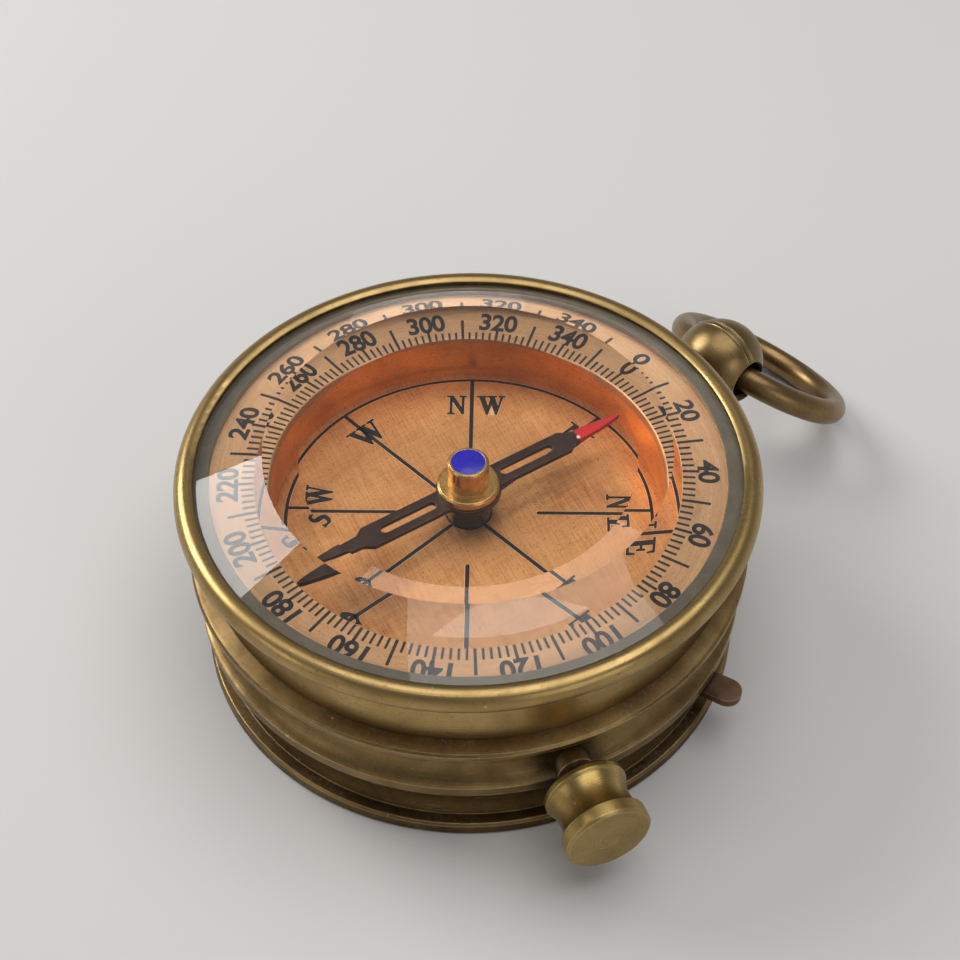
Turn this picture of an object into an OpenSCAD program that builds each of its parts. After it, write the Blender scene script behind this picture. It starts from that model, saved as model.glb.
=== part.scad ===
// Pocket magnetic compass with a glazed bezel, a needle lock and a carrying ring.
// Millimetres. Z is up and the underside of the case stands at Z = 0.
// The carrying ring points along +Y, which is bearing 0; bearings run clockwise from above.

/* [View] */
// Sub-part to draw, or all of them

/* [Case] */
// Widest radius of the case, at its top band
case_r = 29.4; // [26:0.1:33]
// Step from the top band back to the band between the grooves
mid_band_step = 0.4; // [0.2:0.1:0.6]
// Step from the top band back to the foot flange
foot_step = 0.6; // [0.4:0.1:0.8]
// Height of the foot flange
foot_h = 1.6; // [1.4:0.1:1.8]
// Depth of the lower groove under the top band
low_groove_depth = 2.4; // [2.2:0.1:2.6]
// Height of the lower groove's middle
low_groove_z = 3.5; // [3.3:0.1:3.7]
// Curve radius of the lower groove
low_groove_curve = 4.7; // [4.6:0.1:4.9]
// Depth of the upper groove under the top band
high_groove_depth = 2.2; // [2:0.1:2.4]
// Curve radius of the upper groove
high_groove_curve = 2.84; // [2.8:0.02:2.9]
// Height of the joint between case and bezel
joint_z = 15; // [14.6:0.1:16]
// Height of the sloping shoulder between the top band and the joint
shoulder_h = 0.65; // [0.6:0.05:0.75]
// Height of the top band
top_band_h = 0.5; // [0.4:0.05:0.6]
// Wall from the foot's rebate to the foot chamber
foot_wall = 3; // [2.9:0.05:3.1]
// Width of the ledge that the movement plate stands against
ledge_w = 1; // [0.9:0.05:1.1]
// Width of the deck under the dial
deck_w = 3.8; // [3:0.2:5]
// Thickness of the deck under the dial
deck_t = 1.2; // [1:0.1:1.6]

/* [Base plate] */
// Rim of the case around the base plate
base_rim = 1.8; // [1.7:0.05:1.9]
// Thickness of the base plate
base_t = 1.2; // [1:0.1:1.4]
// Distance of the base screws from the base plate's edge
base_screw_in = 1.6; // [1.5:0.05:1.7]
// Thread radius of the small screws
thread_r = 0.7; // [0.6:0.05:0.75]
// Head radius of the base screws
base_head_r = 1.3; // [1.2:0.05:1.4]
// Length of a base screw
base_screw_l = 4.2; // [3.6:0.1:4.4]
// Width of the screwdriver slots
slot_w = 0.4; // [0.3:0.05:0.5]

/* [Bezel and crystal] */
// Height of the bezel from the joint to its widest point
bezel_h = 8; // [7.8:0.1:8.4]
// Height of the bezel's neck under the flare
neck_h = 4; // [3.8:0.1:4.2]
// Amount by which the rolled edge stands out from the case
bezel_over = 0.6; // [0.5:0.05:0.7]
// Radius of the rolled edge
roll_r = 1.3; // [1.25:0.05:1.35]
// Step from the top band back to the bezel's foot
bezel_step = 1.75; // [1.7:0.05:1.8]
// Taper of the bezel's neck
neck_taper = 0.35; // [0.25:0.05:0.45]
// Wall of the bezel around the thread
bezel_wall = 0.85; // [0.8:0.05:0.95]
// Play between the bezel's thread and the case's
thread_play = 0.1; // [0.08:0.01:0.12]
// Width of the metal from the rolled edge to the crystal's recess
recess_in = 1.8; // [1.75:0.05:1.9]
// Overhang of the lip over the recess
lip_over = 0.25; // [0.2:0.05:0.3]
// Width of the step that holds the degree ring
bezel_ledge = 0.6; // [0.5:0.05:0.7]
// Depth of the crystal's seat under the widest point
seat_drop = 0.5; // [0.45:0.05:0.55]
// Thickness of the gasket under the crystal
gasket_t = 0.3; // [0.25:0.05:0.35]
// Step of the gasket's hole back from the bezel's
gasket_step = 0.2; // [0.1:0.05:0.3]
// Play of the crystal in its recess
crystal_play = 0.1; // [0.05:0.05:0.15]
// Thickness of the crystal at its edge
crystal_edge_t = 0.8; // [0.7:0.05:0.9]
// Height of the crystal from its seat to its flat top
crystal_h = 4.1; // [3.8:0.1:4.4]
// Width of the crystal's bevel
crystal_bevel = 7.4; // [6.8:0.1:8]
// Depth of the hollow under the crystal
hollow_depth = 0.95; // [0.8:0.05:1.1]
// Width of the hollow's sloping edge
hollow_slope_w = 9; // [8:0.2:10]

/* [Dial] */
// Width of the degree ring
scale_w = 6; // [5.9:0.05:6.1]
// Thickness of the degree ring
scale_t = 0.9; // [0.8:0.05:1]
// Step of the wall back under the degree ring's inner edge
wall_step = 0.2; // [0.1:0.05:0.3]
// Depth of the undercut at the wall's foot
wall_undercut = 0.15; // [0.1:0.05:0.25]
// Height of the undercut at the wall's foot
undercut_h = 0.65; // [0.5:0.05:0.8]
// Width of the case's spigot outside the dial
spigot_w = 3.9; // [3.8:0.05:4]
// Play of the dial in its cup
dial_play = 0.1; // [0.05:0.05:0.15]
// Height of the dial's face above the joint
dial_rise = 0.05; // [0:0.05:0.3]
// Thickness of the dial plate
dial_t = 1; // [0.9:0.1:1.1]
// Height of the dial wall
wall_h = 4.95; // [4.7:0.05:5.2]

/* [Movement plate] */
// Play of the movement plate in the foot chamber
plate_play = 0.1; // [0.05:0.05:0.15]
// Room between the base plate and the movement plate
plate_room = 2.2; // [2.1:0.1:2.4]
// Thickness of the movement plate
plate_t = 1.2; // [1.1:0.05:1.3]
// Radius of the bosses that take the plate's screws
boss_r = 1.9; // [1.8:0.1:2]
// Depth of the bosses' middles inside the wall
boss_in = 1.4; // [1.3:0.05:1.5]
// Length of the plate's screws above the plate
plate_screw_l = 4.2; // [3.6:0.2:4.6]
// Head radius of the plate's screws
plate_head_r = 1.3; // [1.2:0.05:1.4]
// Head thickness of the plate's screws
plate_head_t = 0.9; // [0.8:0.05:1]
// Radius of the plate's lightening holes
relief_r = 3; // [2.6:0.1:3.2]

/* [Pivot] */
// Radius of the pivot post
post_r = 1.4; // [1.35:0.01:1.45]
// Radius of the flange at the post's foot
post_flange_r = 3; // [2.8:0.1:3.2]
// Thickness of that flange
post_flange_t = 0.5; // [0.45:0.05:0.55]
// Radius of the post's rivet
post_rivet_r = 1.2; // [1.1:0.05:1.25]
// Step of the post's top under the lifter's
post_drop = 0.6; // [0.5:0.1:1]
// Radius of the steel pin
pin_r = 0.5; // [0.45:0.05:0.55]
// Length of the pin inside the post
pin_in = 4; // [3.4:0.2:4.6]
// Length of the pin's point
pin_point = 1.2; // [1.1:0.1:1.4]
// Gap between the pin's point and the jewel's cup
pin_gap = 0.03; // [0.02:0.01:0.05]

/* [Needle] */
// Bearing at which the needle rests
needle_bearing = 8.5; // [-180:0.5:180]
// Thickness of the needle plate
needle_t = 0.5; // [0.45:0.05:0.55]
// Gap from the needle's tips to the dial wall
needle_tip_gap = 1.6; // [1.2:0.1:2.4]
// Radius of the needle's round middle
needle_hub_r = 3.4; // [3.3:0.05:3.6]
// Radius of the hole in the needle's middle
needle_hole_r = 1.9; // [1.8:0.05:2]
// Width of each arm
arm_w = 2.9; // [2.6:0.1:3.2]
// Length of each blade beyond its shoulders
blade_l = 6.1; // [5.8:0.1:6.4]
// Width of the blade beside the shoulders
blade_w = 1.56; // [1.4:0.02:1.7]
// Length of the shoulders
shoulder_l = 1; // [0.8:0.1:1.4]
// Start of the slot in each arm
slot_from = 4; // [3.8:0.1:4.6]
// Length of the slot in each arm
arm_slot_l = 6.6; // [6:0.1:7]
// Width of the slot in each arm
arm_slot_w = 1.05; // [0.9:0.05:1.2]
// Radius of the cap's flange
cap_flange_r = 3.25; // [3.1:0.05:3.35]
// Thickness of the cap's flange
cap_flange_t = 0.9; // [0.8:0.05:1]
// Radius of the cap
cap_r = 2.1; // [2.05:0.05:2.3]
// Radius of the cap's bore
cap_bore_r = 1; // [0.9:0.05:1.1]
// Height of the cap above the needle plate
cap_h = 3.9; // [3.8:0.05:4]
// Wall of the cap around the jewel
cap_wall = 0.35; // [0.3:0.05:0.4]
// Thickness of the jewel at its edge
jewel_t = 1.1; // [1:0.05:1.2]
// Rise of the jewel's domed top above the rim
jewel_rise = 0.15; // [0.1:0.01:0.2]
// Radius of the cup under the jewel
jewel_cup_r = 0.55; // [0.5:0.05:0.6]
// Gap between the lifted jewel and the crystal's hollow
glass_gap = 0.05; // [0.05:0.01:0.1]

/* [Lifter] */
// Wall of the lifter around the post
lifter_wall = 0.88; // [0.8:0.01:0.95]
// Gap between the lifter and the needle at rest
lifter_gap = 0.2; // [0.1:0.05:0.3]
// Radius of the flange at the lifter's foot
lifter_foot_r = 3.5; // [3.4:0.05:3.7]
// Thickness of that flange
lifter_foot_t = 0.8; // [0.7:0.05:0.9]
// Length of the two pegs under the flange
peg_l = 0.6; // [0.5:0.05:0.7]
// Radius of the pegs
peg_r = 0.4; // [0.35:0.05:0.45]
// Inset of the pegs from the flange's edge
peg_in = 0.6; // [0.55:0.05:0.65]
// Rise of the needle when it is locked
lift = 0.8; // [0.6:0.05:0.85]
// Wire radius of the lifter's spring
lifter_wire_r = 0.22; // [0.18:0.02:0.24]
// Gap between the lifter and its spring
lifter_spring_gap = 0.3; // [0.25:0.05:0.35]

/* [Lock lever] */
// Bearing of the lock lever
lever_bearing = 72; // [70:1:74]
// Distance of the lever's pivot from the centre
lever_pivot_at = 17.5; // [17:0.1:18]
// Gap between the movement plate and the lever
lever_gap = 0.65; // [0.6:0.05:0.7]
// Thickness of the lever
lever_t = 0.9; // [0.8:0.05:0.95]
// Width of the lever
lever_w = 3; // [2.8:0.1:3.2]
// Length of the lever outside the case's top band
lever_out = 2.9; // [2.5:0.1:3.4]
// Swing of the lever from free to locked
lever_swing = 14; // [12:1:15]
// Radius of the lever's inner pad
pad_r = 6.4; // [6.2:0.1:6.6]
// Width of the ramps on the lever
ramp_w = 1.2; // [1:0.1:1.3]
// Radius of the pivot screw's shoulder
shoulder_r = 1; // [0.95:0.05:1.05]
// Head radius of the pivot screw
lever_head_r = 1.9; // [1.8:0.1:2]
// Head thickness of the pivot screw
lever_head_t = 0.7; // [0.65:0.05:0.8]
// Thickness of the washer under that head
washer_t = 0.15; // [0.1:0.05:0.2]

/* [Push button] */
// Bearing of the push button
button_bearing = 110.6; // [108:0.1:114]
// Height of the button's axis above the movement plate
button_h = 3.8; // [3.7:0.1:4]
// Travel of the button
button_travel = 1.4; // [1.2:0.1:1.5]
// Gap between the top band and the button's back face
knob_gap = 1.3; // [1.2:0.05:1.5]
// Length of the button
knob_l = 6.4; // [6:0.1:6.8]
// Radius of the front flange
knob_r = 4.4; // [4.2:0.1:4.6]
// Thickness of the front flange
knob_front_t = 1.8; // [1.5:0.1:2]
// Step from the front flange's radius to the back flange's
knob_back_step = 0.15; // [0.1:0.05:0.25]
// Thickness of the back flange
knob_back_t = 1.05; // [0.9:0.05:1.2]
// Radius of the button's waist
knob_waist_r = 3.7; // [3.4:0.1:3.8]
// Thickness of the button's front over the rod
knob_face_t = 0.9; // [0.7:0.1:1.1]
// Radius of the rod
rod_r = 1; // [0.95:0.01:1.05]
// Gap between the pressed rod and the lifter's flange
nose_gap = 0.5; // [0.4:0.1:0.8]
// Length of the rod's nose
nose_l = 0.8; // [0.6:0.1:1]
// Wall of the bush in the case
bush_wall = 0.85; // [0.8:0.05:0.95]
// Width and thickness of the bush's flange
bush_flange = 0.9; // [0.8:0.05:1]
// Distance from the bush to the guide
guide_room = 8.7; // [8.2:0.1:9.2]
// Thickness of the guide
guide_t = 1.2; // [1:0.1:1.4]
// Half the width of the guide
guide_half_w = 3; // [2.8:0.1:3.2]
// Length of the guide's foot
guide_foot_l = 3; // [2.8:0.1:3.4]
// Thickness of the guide's foot
guide_foot_t = 0.9; // [0.8:0.1:1.1]
// Radius of the guide's rivets
rivet_r = 0.6; // [0.5:0.05:0.65]
// Thickness of the clip on the rod
clip_t = 0.6; // [0.5:0.05:0.65]
// Radius of the clip on the rod
clip_r = 2; // [1.9:0.05:2.1]
// Wire radius of the button's spring
button_wire_r = 0.2; // [0.16:0.02:0.22]
// Gap between the rod and its spring
button_spring_gap = 0.3; // [0.25:0.05:0.4]

/* [Pendant and ring] */
// Depth of the pendant's axis under the joint
pendant_drop = 1.5; // [1.45:0.05:1.7]
// Radius of the collar against the case
collar_r = 3.4; // [3.3:0.1:3.5]
// Length of the collar outside the case's top band
collar_l = 4.2; // [4:0.1:4.4]
// Radius of the stem's thread
stem_r = 2; // [1.9:0.05:2.1]
// Radius of the stem inside the case
stem_tail_r = 1.2; // [1.1:0.05:1.2]
// Depth of the stem in the case's spigot
stem_in = 2.3; // [2.1:0.1:2.6]
// Length of thread that shows between collar and ball
thread_l = 0.8; // [0.7:0.05:0.9]
// Radius of the ball's inner half
ball_r = 5.15; // [5.05:0.05:5.25]
// Step from the ball's inner half to its outer half
ball_step = 0.2; // [0.15:0.05:0.25]
// Depth of the flat on the ball's inner end
ball_flat_depth = 0.65; // [0.55:0.05:0.75]
// Radius of the hole through the ball
eye_r = 2.2; // [2.15:0.01:2.3]
// Width of the countersink at the hole's mouths
eye_bevel = 0.7; // [0.6:0.05:0.75]
// Radius of the ring's centreline
ring_r = 10.1; // [9.8:0.05:10.4]
// Radius of the ring's wire
wire_r = 1.5; // [1.4:0.01:1.55]
// Least gap between the ring's wire and the hole
eye_fit = 0.1; // [0.08:0.01:0.12]
// Height of the resting ring's lowest point above the table
ring_rest = 0.07; // [0.05:0.01:0.15]

/* [Hidden] */
$fn = 96;
fit = 0.05;
edge = 0.25;
over = 1;
foot_r = case_r - foot_step;
mid_band_r = case_r - mid_band_step;
low_groove_r = case_r - low_groove_depth;
high_groove_r = case_r - high_groove_depth;
low_groove_at = low_groove_r + low_groove_curve;
high_groove_at = high_groove_r + high_groove_curve;
top_band_z = joint_z - shoulder_h;
high_groove_z = top_band_z - top_band_h + 0.1 - high_groove_curve;
base_r = foot_r - base_rim;
base_screw_at = base_r - base_screw_in;
foot_chamber_r = base_r - foot_wall;
chamber_r = foot_chamber_r - ledge_w;
bezel_r = case_r + bezel_over;
bezel_low_r = case_r - bezel_step;
bezel_neck_r = bezel_low_r - neck_taper;
bezel_thread_r = bezel_low_r - bezel_wall;
spigot_r = bezel_thread_r - thread_play;
scale_out_r = spigot_r - thread_play;
scale_in_r = scale_out_r - scale_w;
bezel_bore_r = scale_out_r - bezel_ledge;
gasket_in_r = bezel_bore_r + gasket_step;
recess_r = bezel_r - recess_in;
lip_r = recess_r - lip_over;
crystal_r = recess_r - crystal_play;
crystal_flat_r = crystal_r - crystal_bevel;
hollow_r = gasket_in_r - hollow_slope_w;
wall_in_r = scale_in_r + wall_step;
cup_r = spigot_r - spigot_w;
dial_r = cup_r - dial_play;
deck_in_r = cup_r - deck_w;
flare_z = joint_z + neck_h;
roll_z = joint_z + bezel_h;
bezel_top = roll_z + roll_r;
roll_at = bezel_r - roll_r;
flare_gap = roll_at - bezel_neck_r;
flare_rise = roll_z - flare_z;
flare_r = (flare_gap * flare_gap + flare_rise * flare_rise - roll_r * roll_r)
    / (2 * (roll_r + flare_gap));
seat_z = roll_z - seat_drop;
crystal_z = seat_z + gasket_t;
hollow_z = crystal_z + hollow_depth;
dial_z = joint_z + dial_rise;
dial_floor = dial_z - dial_t;
deck_z = dial_floor - deck_t;
wall_top = dial_z + wall_h;
scale_top = wall_top + scale_t;
plate_r = foot_chamber_r - plate_play;
plate_floor = base_t + plate_room;
plate_z = plate_floor + plate_t;
boss_at = chamber_r - boss_in;
jewel_top = hollow_z - glass_gap - lift;
cap_top_z = jewel_top - jewel_rise;
needle_top = cap_top_z - cap_h;
needle_z = needle_top - needle_t;
lifter_top = needle_z - lifter_gap;
jewel_r = cap_r - cap_wall;
jewel_z = cap_top_z - jewel_t;
cup_top = jewel_z + jewel_cup_r;
pin_tip_z = cup_top - pin_gap;
pin_taper_z = pin_tip_z - pin_point;
post_top = lifter_top - post_drop;
needle_l = wall_in_r - needle_tip_gap;
shoulder_end = needle_l - blade_l;
shoulder_at = shoulder_end - shoulder_l;
slot_to = slot_from + arm_slot_l;
lever_z = plate_z + lever_gap;
lever_top = lever_z + lever_t;
lever_tip_at = case_r + lever_out;
lever_play = 0.1;
peg_z = lever_top + lever_play;
peg_at = lifter_foot_r - peg_in;
lifter_foot_z = peg_z + peg_l;
lifter_foot_top = lifter_foot_z + lifter_foot_t;
lifter_bore_r = post_r + fit;
lifter_r = lifter_bore_r + lifter_wall;
lifter_coil_r = lifter_r + lifter_spring_gap + lifter_wire_r;
lever_slot_r = post_r + 0.25;
lever_bore_r = shoulder_r + fit;
screw_head_z = lever_top + fit + washer_t;
button_z = plate_z + button_h;
knob_back_at = case_r + knob_gap;
knob_front_at = knob_back_at + knob_l;
knob_back_r = knob_r - knob_back_step;
rod_bore_r = rod_r + fit;
rod_end_at = lifter_foot_r + nose_gap + button_travel;
rod_out_at = knob_front_at - knob_face_t;
bush_r = rod_bore_r + bush_wall;
bush_in_at = chamber_r - bush_flange - 0.2;
bush_out_at = mid_band_r - 0.1;
clip_at = bush_in_at - fit - clip_t;
clip_groove_r = rod_r - 0.15;
guide_out_at = bush_in_at - guide_room;
guide_at = guide_out_at - guide_t;
button_coil_r = rod_r + button_spring_gap + button_wire_r;
pendant_z = joint_z - pendant_drop;
collar_end = case_r + collar_l;
stem_step_at = case_r + 0.2;
stem_in_at = spigot_r - stem_in;
ball_flat = ball_r - ball_flat_depth;
ball_at = collar_end + thread_l + ball_flat;
ball_cap_r = ball_r - ball_step;
stem_out_at = ball_at - eye_r - 0.5;
split_at = 0.6;
bead_r = ball_r - 0.15;
bead_from = 0.42;
ball_groove_r = ball_r - 0.3;
ring_out = ring_r - eye_r + wire_r + eye_fit;
ring_droop = asin((pendant_z - wire_r - ring_rest) / (ring_out + ring_r));
base_bearings = [45, 135, 225, 315];
boss_bearings = [30, 150, 270];
coil_steps = 20;
coil_sides = 6;
coil_turns = 6;

// Turns a shape drawn along +Y to a bearing.
module to_bearing(bearing) {
    rotate([0, 0, -bearing]) children();
}

// Places a shape drawn along +Z so that it runs along +Y at a height.
module outward(height) {
    translate([0, 0, height]) rotate([-90, 0, 0]) children();
}

// Round bar along +Y from one distance to another.
module rod_between(radius, from, to, height) {
    outward(height) translate([0, 0, from]) cylinder(r = radius, h = to - from);
}

// Flat ring around the Z axis.
module washer_shape(inner, outer, low, high) {
    translate([0, 0, low]) rotate_extrude() translate([inner, 0]) square([outer - inner, high - low]);
}

// Height of a coil's centreline: closed at both ends, open between them.
function coil_rise(turn, wire, length) =
    let (closed = 2.2 * wire, open = (length - 2 * wire - 2 * closed) / (coil_turns - 2))
    wire + closed * min(turn, 1) + open * min(max(turn - 1, 0), coil_turns - 2)
    + closed * max(turn - coil_turns + 1, 0);

// Compression spring standing on Z = 0.
module coil(middle, wire, length) {
    last = coil_turns * coil_steps;
    points = [for (i = [0:last]) for (j = [0:coil_sides - 1])
        let (turn = i / coil_steps, around = 360 * j / coil_sides, radius = middle + wire * cos(around))
        [radius * cos(360 * turn), radius * sin(360 * turn),
            coil_rise(turn, wire, length) + wire * sin(around)]];
    start = [for (j = [coil_sides - 1:-1:0]) j];
    finish = [for (j = [0:coil_sides - 1]) last * coil_sides + j];
    sides = [for (i = [0:last - 1]) for (j = [0:coil_sides - 1]) for (half = [0, 1])
        let (next = (j + 1) % coil_sides, a = i * coil_sides, b = a + coil_sides)
        half == 0 ? [a + j, a + next, b + next] : [a + j, b + next, b + j]];
    polyhedron(points = points, faces = concat([start], sides, [finish]), convexity = 8);
}

// Outline of the case's outside, radius against height.
module case_side() {
    difference() {
        union() {
            polygon([[0, 0], [foot_r - edge, 0], [foot_r, edge], [foot_r, foot_h - edge],
                [foot_r - edge, foot_h], [0, foot_h]]);
            polygon([[0, foot_h], [mid_band_r, foot_h], [mid_band_r, high_groove_z],
                [case_r, high_groove_z], [case_r, top_band_z],
                [case_r - edge, top_band_z + edge], [bezel_low_r, joint_z], [0, joint_z]]);
        }
        intersection() {
            translate([low_groove_at, low_groove_z]) circle(r = low_groove_curve);
            translate([0, foot_h]) square([low_groove_at, high_groove_z - foot_h]);
        }
        translate([high_groove_at, high_groove_z]) circle(r = high_groove_curve);
    }
}

// Plan of the lock lever around its own pivot, tip along +Y.
module lever_plan() {
    arm = lever_tip_at - lever_pivot_at - lever_w / 2;
    half_swing = lever_swing / 2;
    difference() {
        union() {
            translate([-lever_w / 2, -lever_pivot_at + pad_r / 2])
                square([lever_w, lever_pivot_at + arm - pad_r / 2]);
            translate([0, arm]) circle(r = lever_w / 2);
            circle(r = lever_w * 1.05);
            rotate([0, 0, -half_swing]) translate([0, -lever_pivot_at]) circle(r = pad_r);
        }
        circle(r = lever_bore_r);
    }
}

// Wedge on the lever that raises one peg, for a peg at this distance from the lever's pivot.
module lever_ramp(distance) {
    reach = distance * lever_swing * PI / 180;
    translate([0, -distance, 0]) rotate([0, 0, 180 - lever_swing / 2]) rotate([90, 0, 0])
        linear_extrude(height = ramp_w, center = true)
            polygon([[peg_r, lever_top - edge], [peg_r, lever_top], [peg_r + reach, lever_top + lift],
                [peg_r + reach + over, lever_top + lift], [peg_r + reach + over, lever_top - edge]]);
}

// Arc-shaped slot in which the lever passes the pivot post.
module post_slot(height) {
    rotate([0, 0, -90 - lever_swing]) rotate_extrude(angle = lever_swing)
        translate([lever_pivot_at - lever_slot_r, 0]) square([2 * lever_slot_r, height]);
    for (turn = [0, -lever_swing])
        rotate([0, 0, turn]) translate([0, -lever_pivot_at, 0]) cylinder(r = lever_slot_r, h = height);
}

// Opening that the lever needs in the case wall, around the lever's pivot.
module lever_opening() {
    width = lever_w + 4 * fit;
    height = lever_t + 6 * fit;
    depth = lever_tip_at - lever_pivot_at;
    translate([0, 0, lever_z - 3 * fit]) {
        for (turn = [0, lever_swing])
            rotate([0, 0, turn]) translate([-width / 2, 3, 0]) cube([width, depth, height]);
        rotate([0, 0, 90]) rotate_extrude(angle = lever_swing) translate([3, 0]) square([depth - 1.5, height]);
    }
}

module case_body() {
    color("goldenrod") difference() {
        union() {
            rotate_extrude() difference() {
                union() {
                    case_side();
                    translate([0, joint_z]) square([spigot_r, wall_top - joint_z]);
                }
                translate([0, -over]) square([base_r + fit, base_t + over]);
                square([foot_chamber_r, plate_z]);
                square([chamber_r, deck_z]);
                square([deck_in_r, dial_floor]);
                translate([0, dial_floor]) square([cup_r, wall_top]);
            }
            for (b = boss_bearings)
                to_bearing(b) translate([0, boss_at, plate_z])
                    cylinder(r = boss_r, h = deck_z - plate_z + edge);
        }
        for (b = boss_bearings)
            to_bearing(b) translate([0, boss_at, 0]) cylinder(r = thread_r, h = plate_z + plate_screw_l);
        for (b = base_bearings)
            to_bearing(b) translate([0, base_screw_at, 0]) cylinder(r = thread_r, h = base_screw_l);
        to_bearing(lever_bearing) translate([0, lever_pivot_at, 0]) lever_opening();
        to_bearing(button_bearing) rod_between(bush_r, bush_in_at, bush_out_at + over, button_z);
        to_bearing(button_bearing)
            rod_between(bush_r + bush_flange, bush_in_at, bush_in_at + bush_flange, button_z);
        rod_between(stem_tail_r, stem_in_at, stem_step_at, pendant_z);
    }
}

module base_plate() {
    color("darkgoldenrod") difference() {
        rotate_extrude() polygon([[0, 0], [base_r - edge, 0], [base_r, edge], [base_r, base_t], [0, base_t]]);
        for (b = base_bearings)
            to_bearing(b) translate([0, base_screw_at, 0]) {
                cylinder(r = thread_r, h = base_t);
                cylinder(r1 = base_head_r, r2 = thread_r, h = base_head_r - thread_r);
            }
    }
}

module base_screws() {
    color("silver")
        for (b = base_bearings)
            to_bearing(b) translate([0, base_screw_at, 0]) difference() {
                union() {
                    cylinder(r = thread_r, h = base_screw_l);
                    cylinder(r1 = base_head_r, r2 = thread_r, h = base_head_r - thread_r);
                }
                translate([-slot_w / 2, -base_head_r, 0]) cube([slot_w, 2 * base_head_r, slot_w]);
            }
}

module bezel() {
    color("gold") rotate_extrude() difference() {
        union() {
            difference() {
                polygon([[bezel_bore_r, joint_z], [bezel_low_r, joint_z], [bezel_neck_r, flare_z],
                    [bezel_neck_r + flare_r, flare_z], [roll_at, roll_z], [roll_at, bezel_top],
                    [bezel_bore_r, bezel_top]]);
                translate([bezel_neck_r + flare_r, flare_z]) circle(r = flare_r);
            }
            translate([roll_at, roll_z]) circle(r = roll_r);
        }
        translate([0, joint_z]) square([bezel_thread_r, scale_top - joint_z]);
        translate([0, seat_z]) square([recess_r, gasket_t + crystal_edge_t + fit]);
        translate([0, seat_z]) square([lip_r, bezel_top]);
        difference() {
            translate([0, roll_z]) square([roll_at, bezel_top]);
            translate([roll_at, roll_z]) circle(r = roll_r);
        }
    }
}

module crystal() {
    color([0.85, 0.92, 0.95, 0.35]) rotate_extrude()
        polygon([[0, hollow_z], [hollow_r, hollow_z], [gasket_in_r, crystal_z], [crystal_r, crystal_z],
            [crystal_r, crystal_z + crystal_edge_t], [crystal_flat_r, crystal_z + crystal_h],
            [0, crystal_z + crystal_h]]);
}

module crystal_gasket() {
    color("dimgray") washer_shape(gasket_in_r, crystal_r, seat_z, crystal_z);
}

module degree_ring() {
    bevel = 0.12;
    color("peru") rotate_extrude()
        polygon([[scale_in_r, wall_top], [scale_out_r, wall_top], [scale_out_r, scale_top],
            [scale_in_r + bevel, scale_top], [scale_in_r, scale_top - bevel]]);
}

module dial_wall() {
    color("chocolate") rotate_extrude() difference() {
        translate([wall_in_r, dial_z]) square([dial_r - wall_in_r, wall_h]);
        translate([0, dial_z]) square([wall_in_r + wall_undercut, undercut_h]);
    }
}

module dial_plate() {
    color("sandybrown") washer_shape(lifter_r + 2 * fit, dial_r, dial_floor, dial_z);
}

module movement_plate() {
    color("tan") difference() {
        union() {
            translate([0, 0, plate_floor]) cylinder(r = plate_r, h = plate_t);
            to_bearing(lever_bearing) translate([0, lever_pivot_at, plate_floor])
                cylinder(r = 2.2 * shoulder_r, h = lever_z - plate_floor - fit);
        }
        translate([0, 0, plate_floor]) cylinder(r = post_rivet_r, h = plate_t);
        to_bearing(lever_bearing) translate([0, lever_pivot_at, plate_floor])
            cylinder(r = shoulder_r, h = plate_z);
        for (b = boss_bearings)
            to_bearing(b) translate([0, boss_at, plate_floor]) cylinder(r = thread_r, h = plate_t);
        for (b = [190, 230, 330])
            to_bearing(b) translate([0, plate_r / 2, plate_floor]) cylinder(r = relief_r, h = plate_t);
        to_bearing(button_bearing) guide_rivets();
    }
}

module plate_screws() {
    color("silver")
        for (b = boss_bearings)
            to_bearing(b) translate([0, boss_at, 0]) difference() {
                union() {
                    translate([0, 0, plate_floor]) cylinder(r = thread_r, h = plate_t + plate_screw_l);
                    translate([0, 0, plate_floor - plate_head_t]) cylinder(r = plate_head_r, h = plate_head_t);
                }
                translate([-slot_w / 2, -plate_head_r, plate_floor - plate_head_t])
                    cube([slot_w, 2 * plate_head_r, slot_w]);
            }
}

module pivot_post() {
    color("gold") difference() {
        union() {
            translate([0, 0, plate_floor]) cylinder(r = post_rivet_r, h = plate_t);
            translate([0, 0, plate_z]) cylinder(r = post_flange_r, h = post_flange_t);
            translate([0, 0, plate_z]) cylinder(r = post_r, h = post_top - plate_z);
        }
        translate([0, 0, post_top - pin_in]) cylinder(r = pin_r, h = pin_in + over);
    }
}

module pivot_pin() {
    color("silver") rotate_extrude()
        polygon([[0, post_top - pin_in], [pin_r, post_top - pin_in], [pin_r, pin_taper_z], [0.04, pin_tip_z],
            [0, pin_tip_z]]);
}

module lifter_collar() {
    color("dimgray") {
        difference() {
            union() {
                translate([0, 0, lifter_foot_z]) cylinder(r = lifter_r, h = lifter_top - lifter_foot_z);
                translate([0, 0, lifter_foot_z]) cylinder(r = lifter_foot_r, h = lifter_foot_t);
                to_bearing(lever_bearing)
                    for (side = [-1, 1])
                        translate([0, side * peg_at, peg_z]) cylinder(r = peg_r, h = peg_l + edge);
            }
            cylinder(r = lifter_bore_r, h = lifter_top + over);
        }
    }
}

module lifter_spring() {
    color("silver") translate([0, 0, lifter_foot_top])
        coil(lifter_coil_r, lifter_wire_r, dial_floor - lifter_foot_top);
}

module lock_lever() {
    color("darkkhaki") to_bearing(lever_bearing) translate([0, lever_pivot_at, 0]) {
        difference() {
            translate([0, 0, lever_z]) linear_extrude(height = lever_t) lever_plan();
            translate([0, 0, lever_z - over]) post_slot(lever_t + 2 * over);
        }
        lever_ramp(lever_pivot_at - peg_at);
        lever_ramp(lever_pivot_at + peg_at);
    }
}

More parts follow.
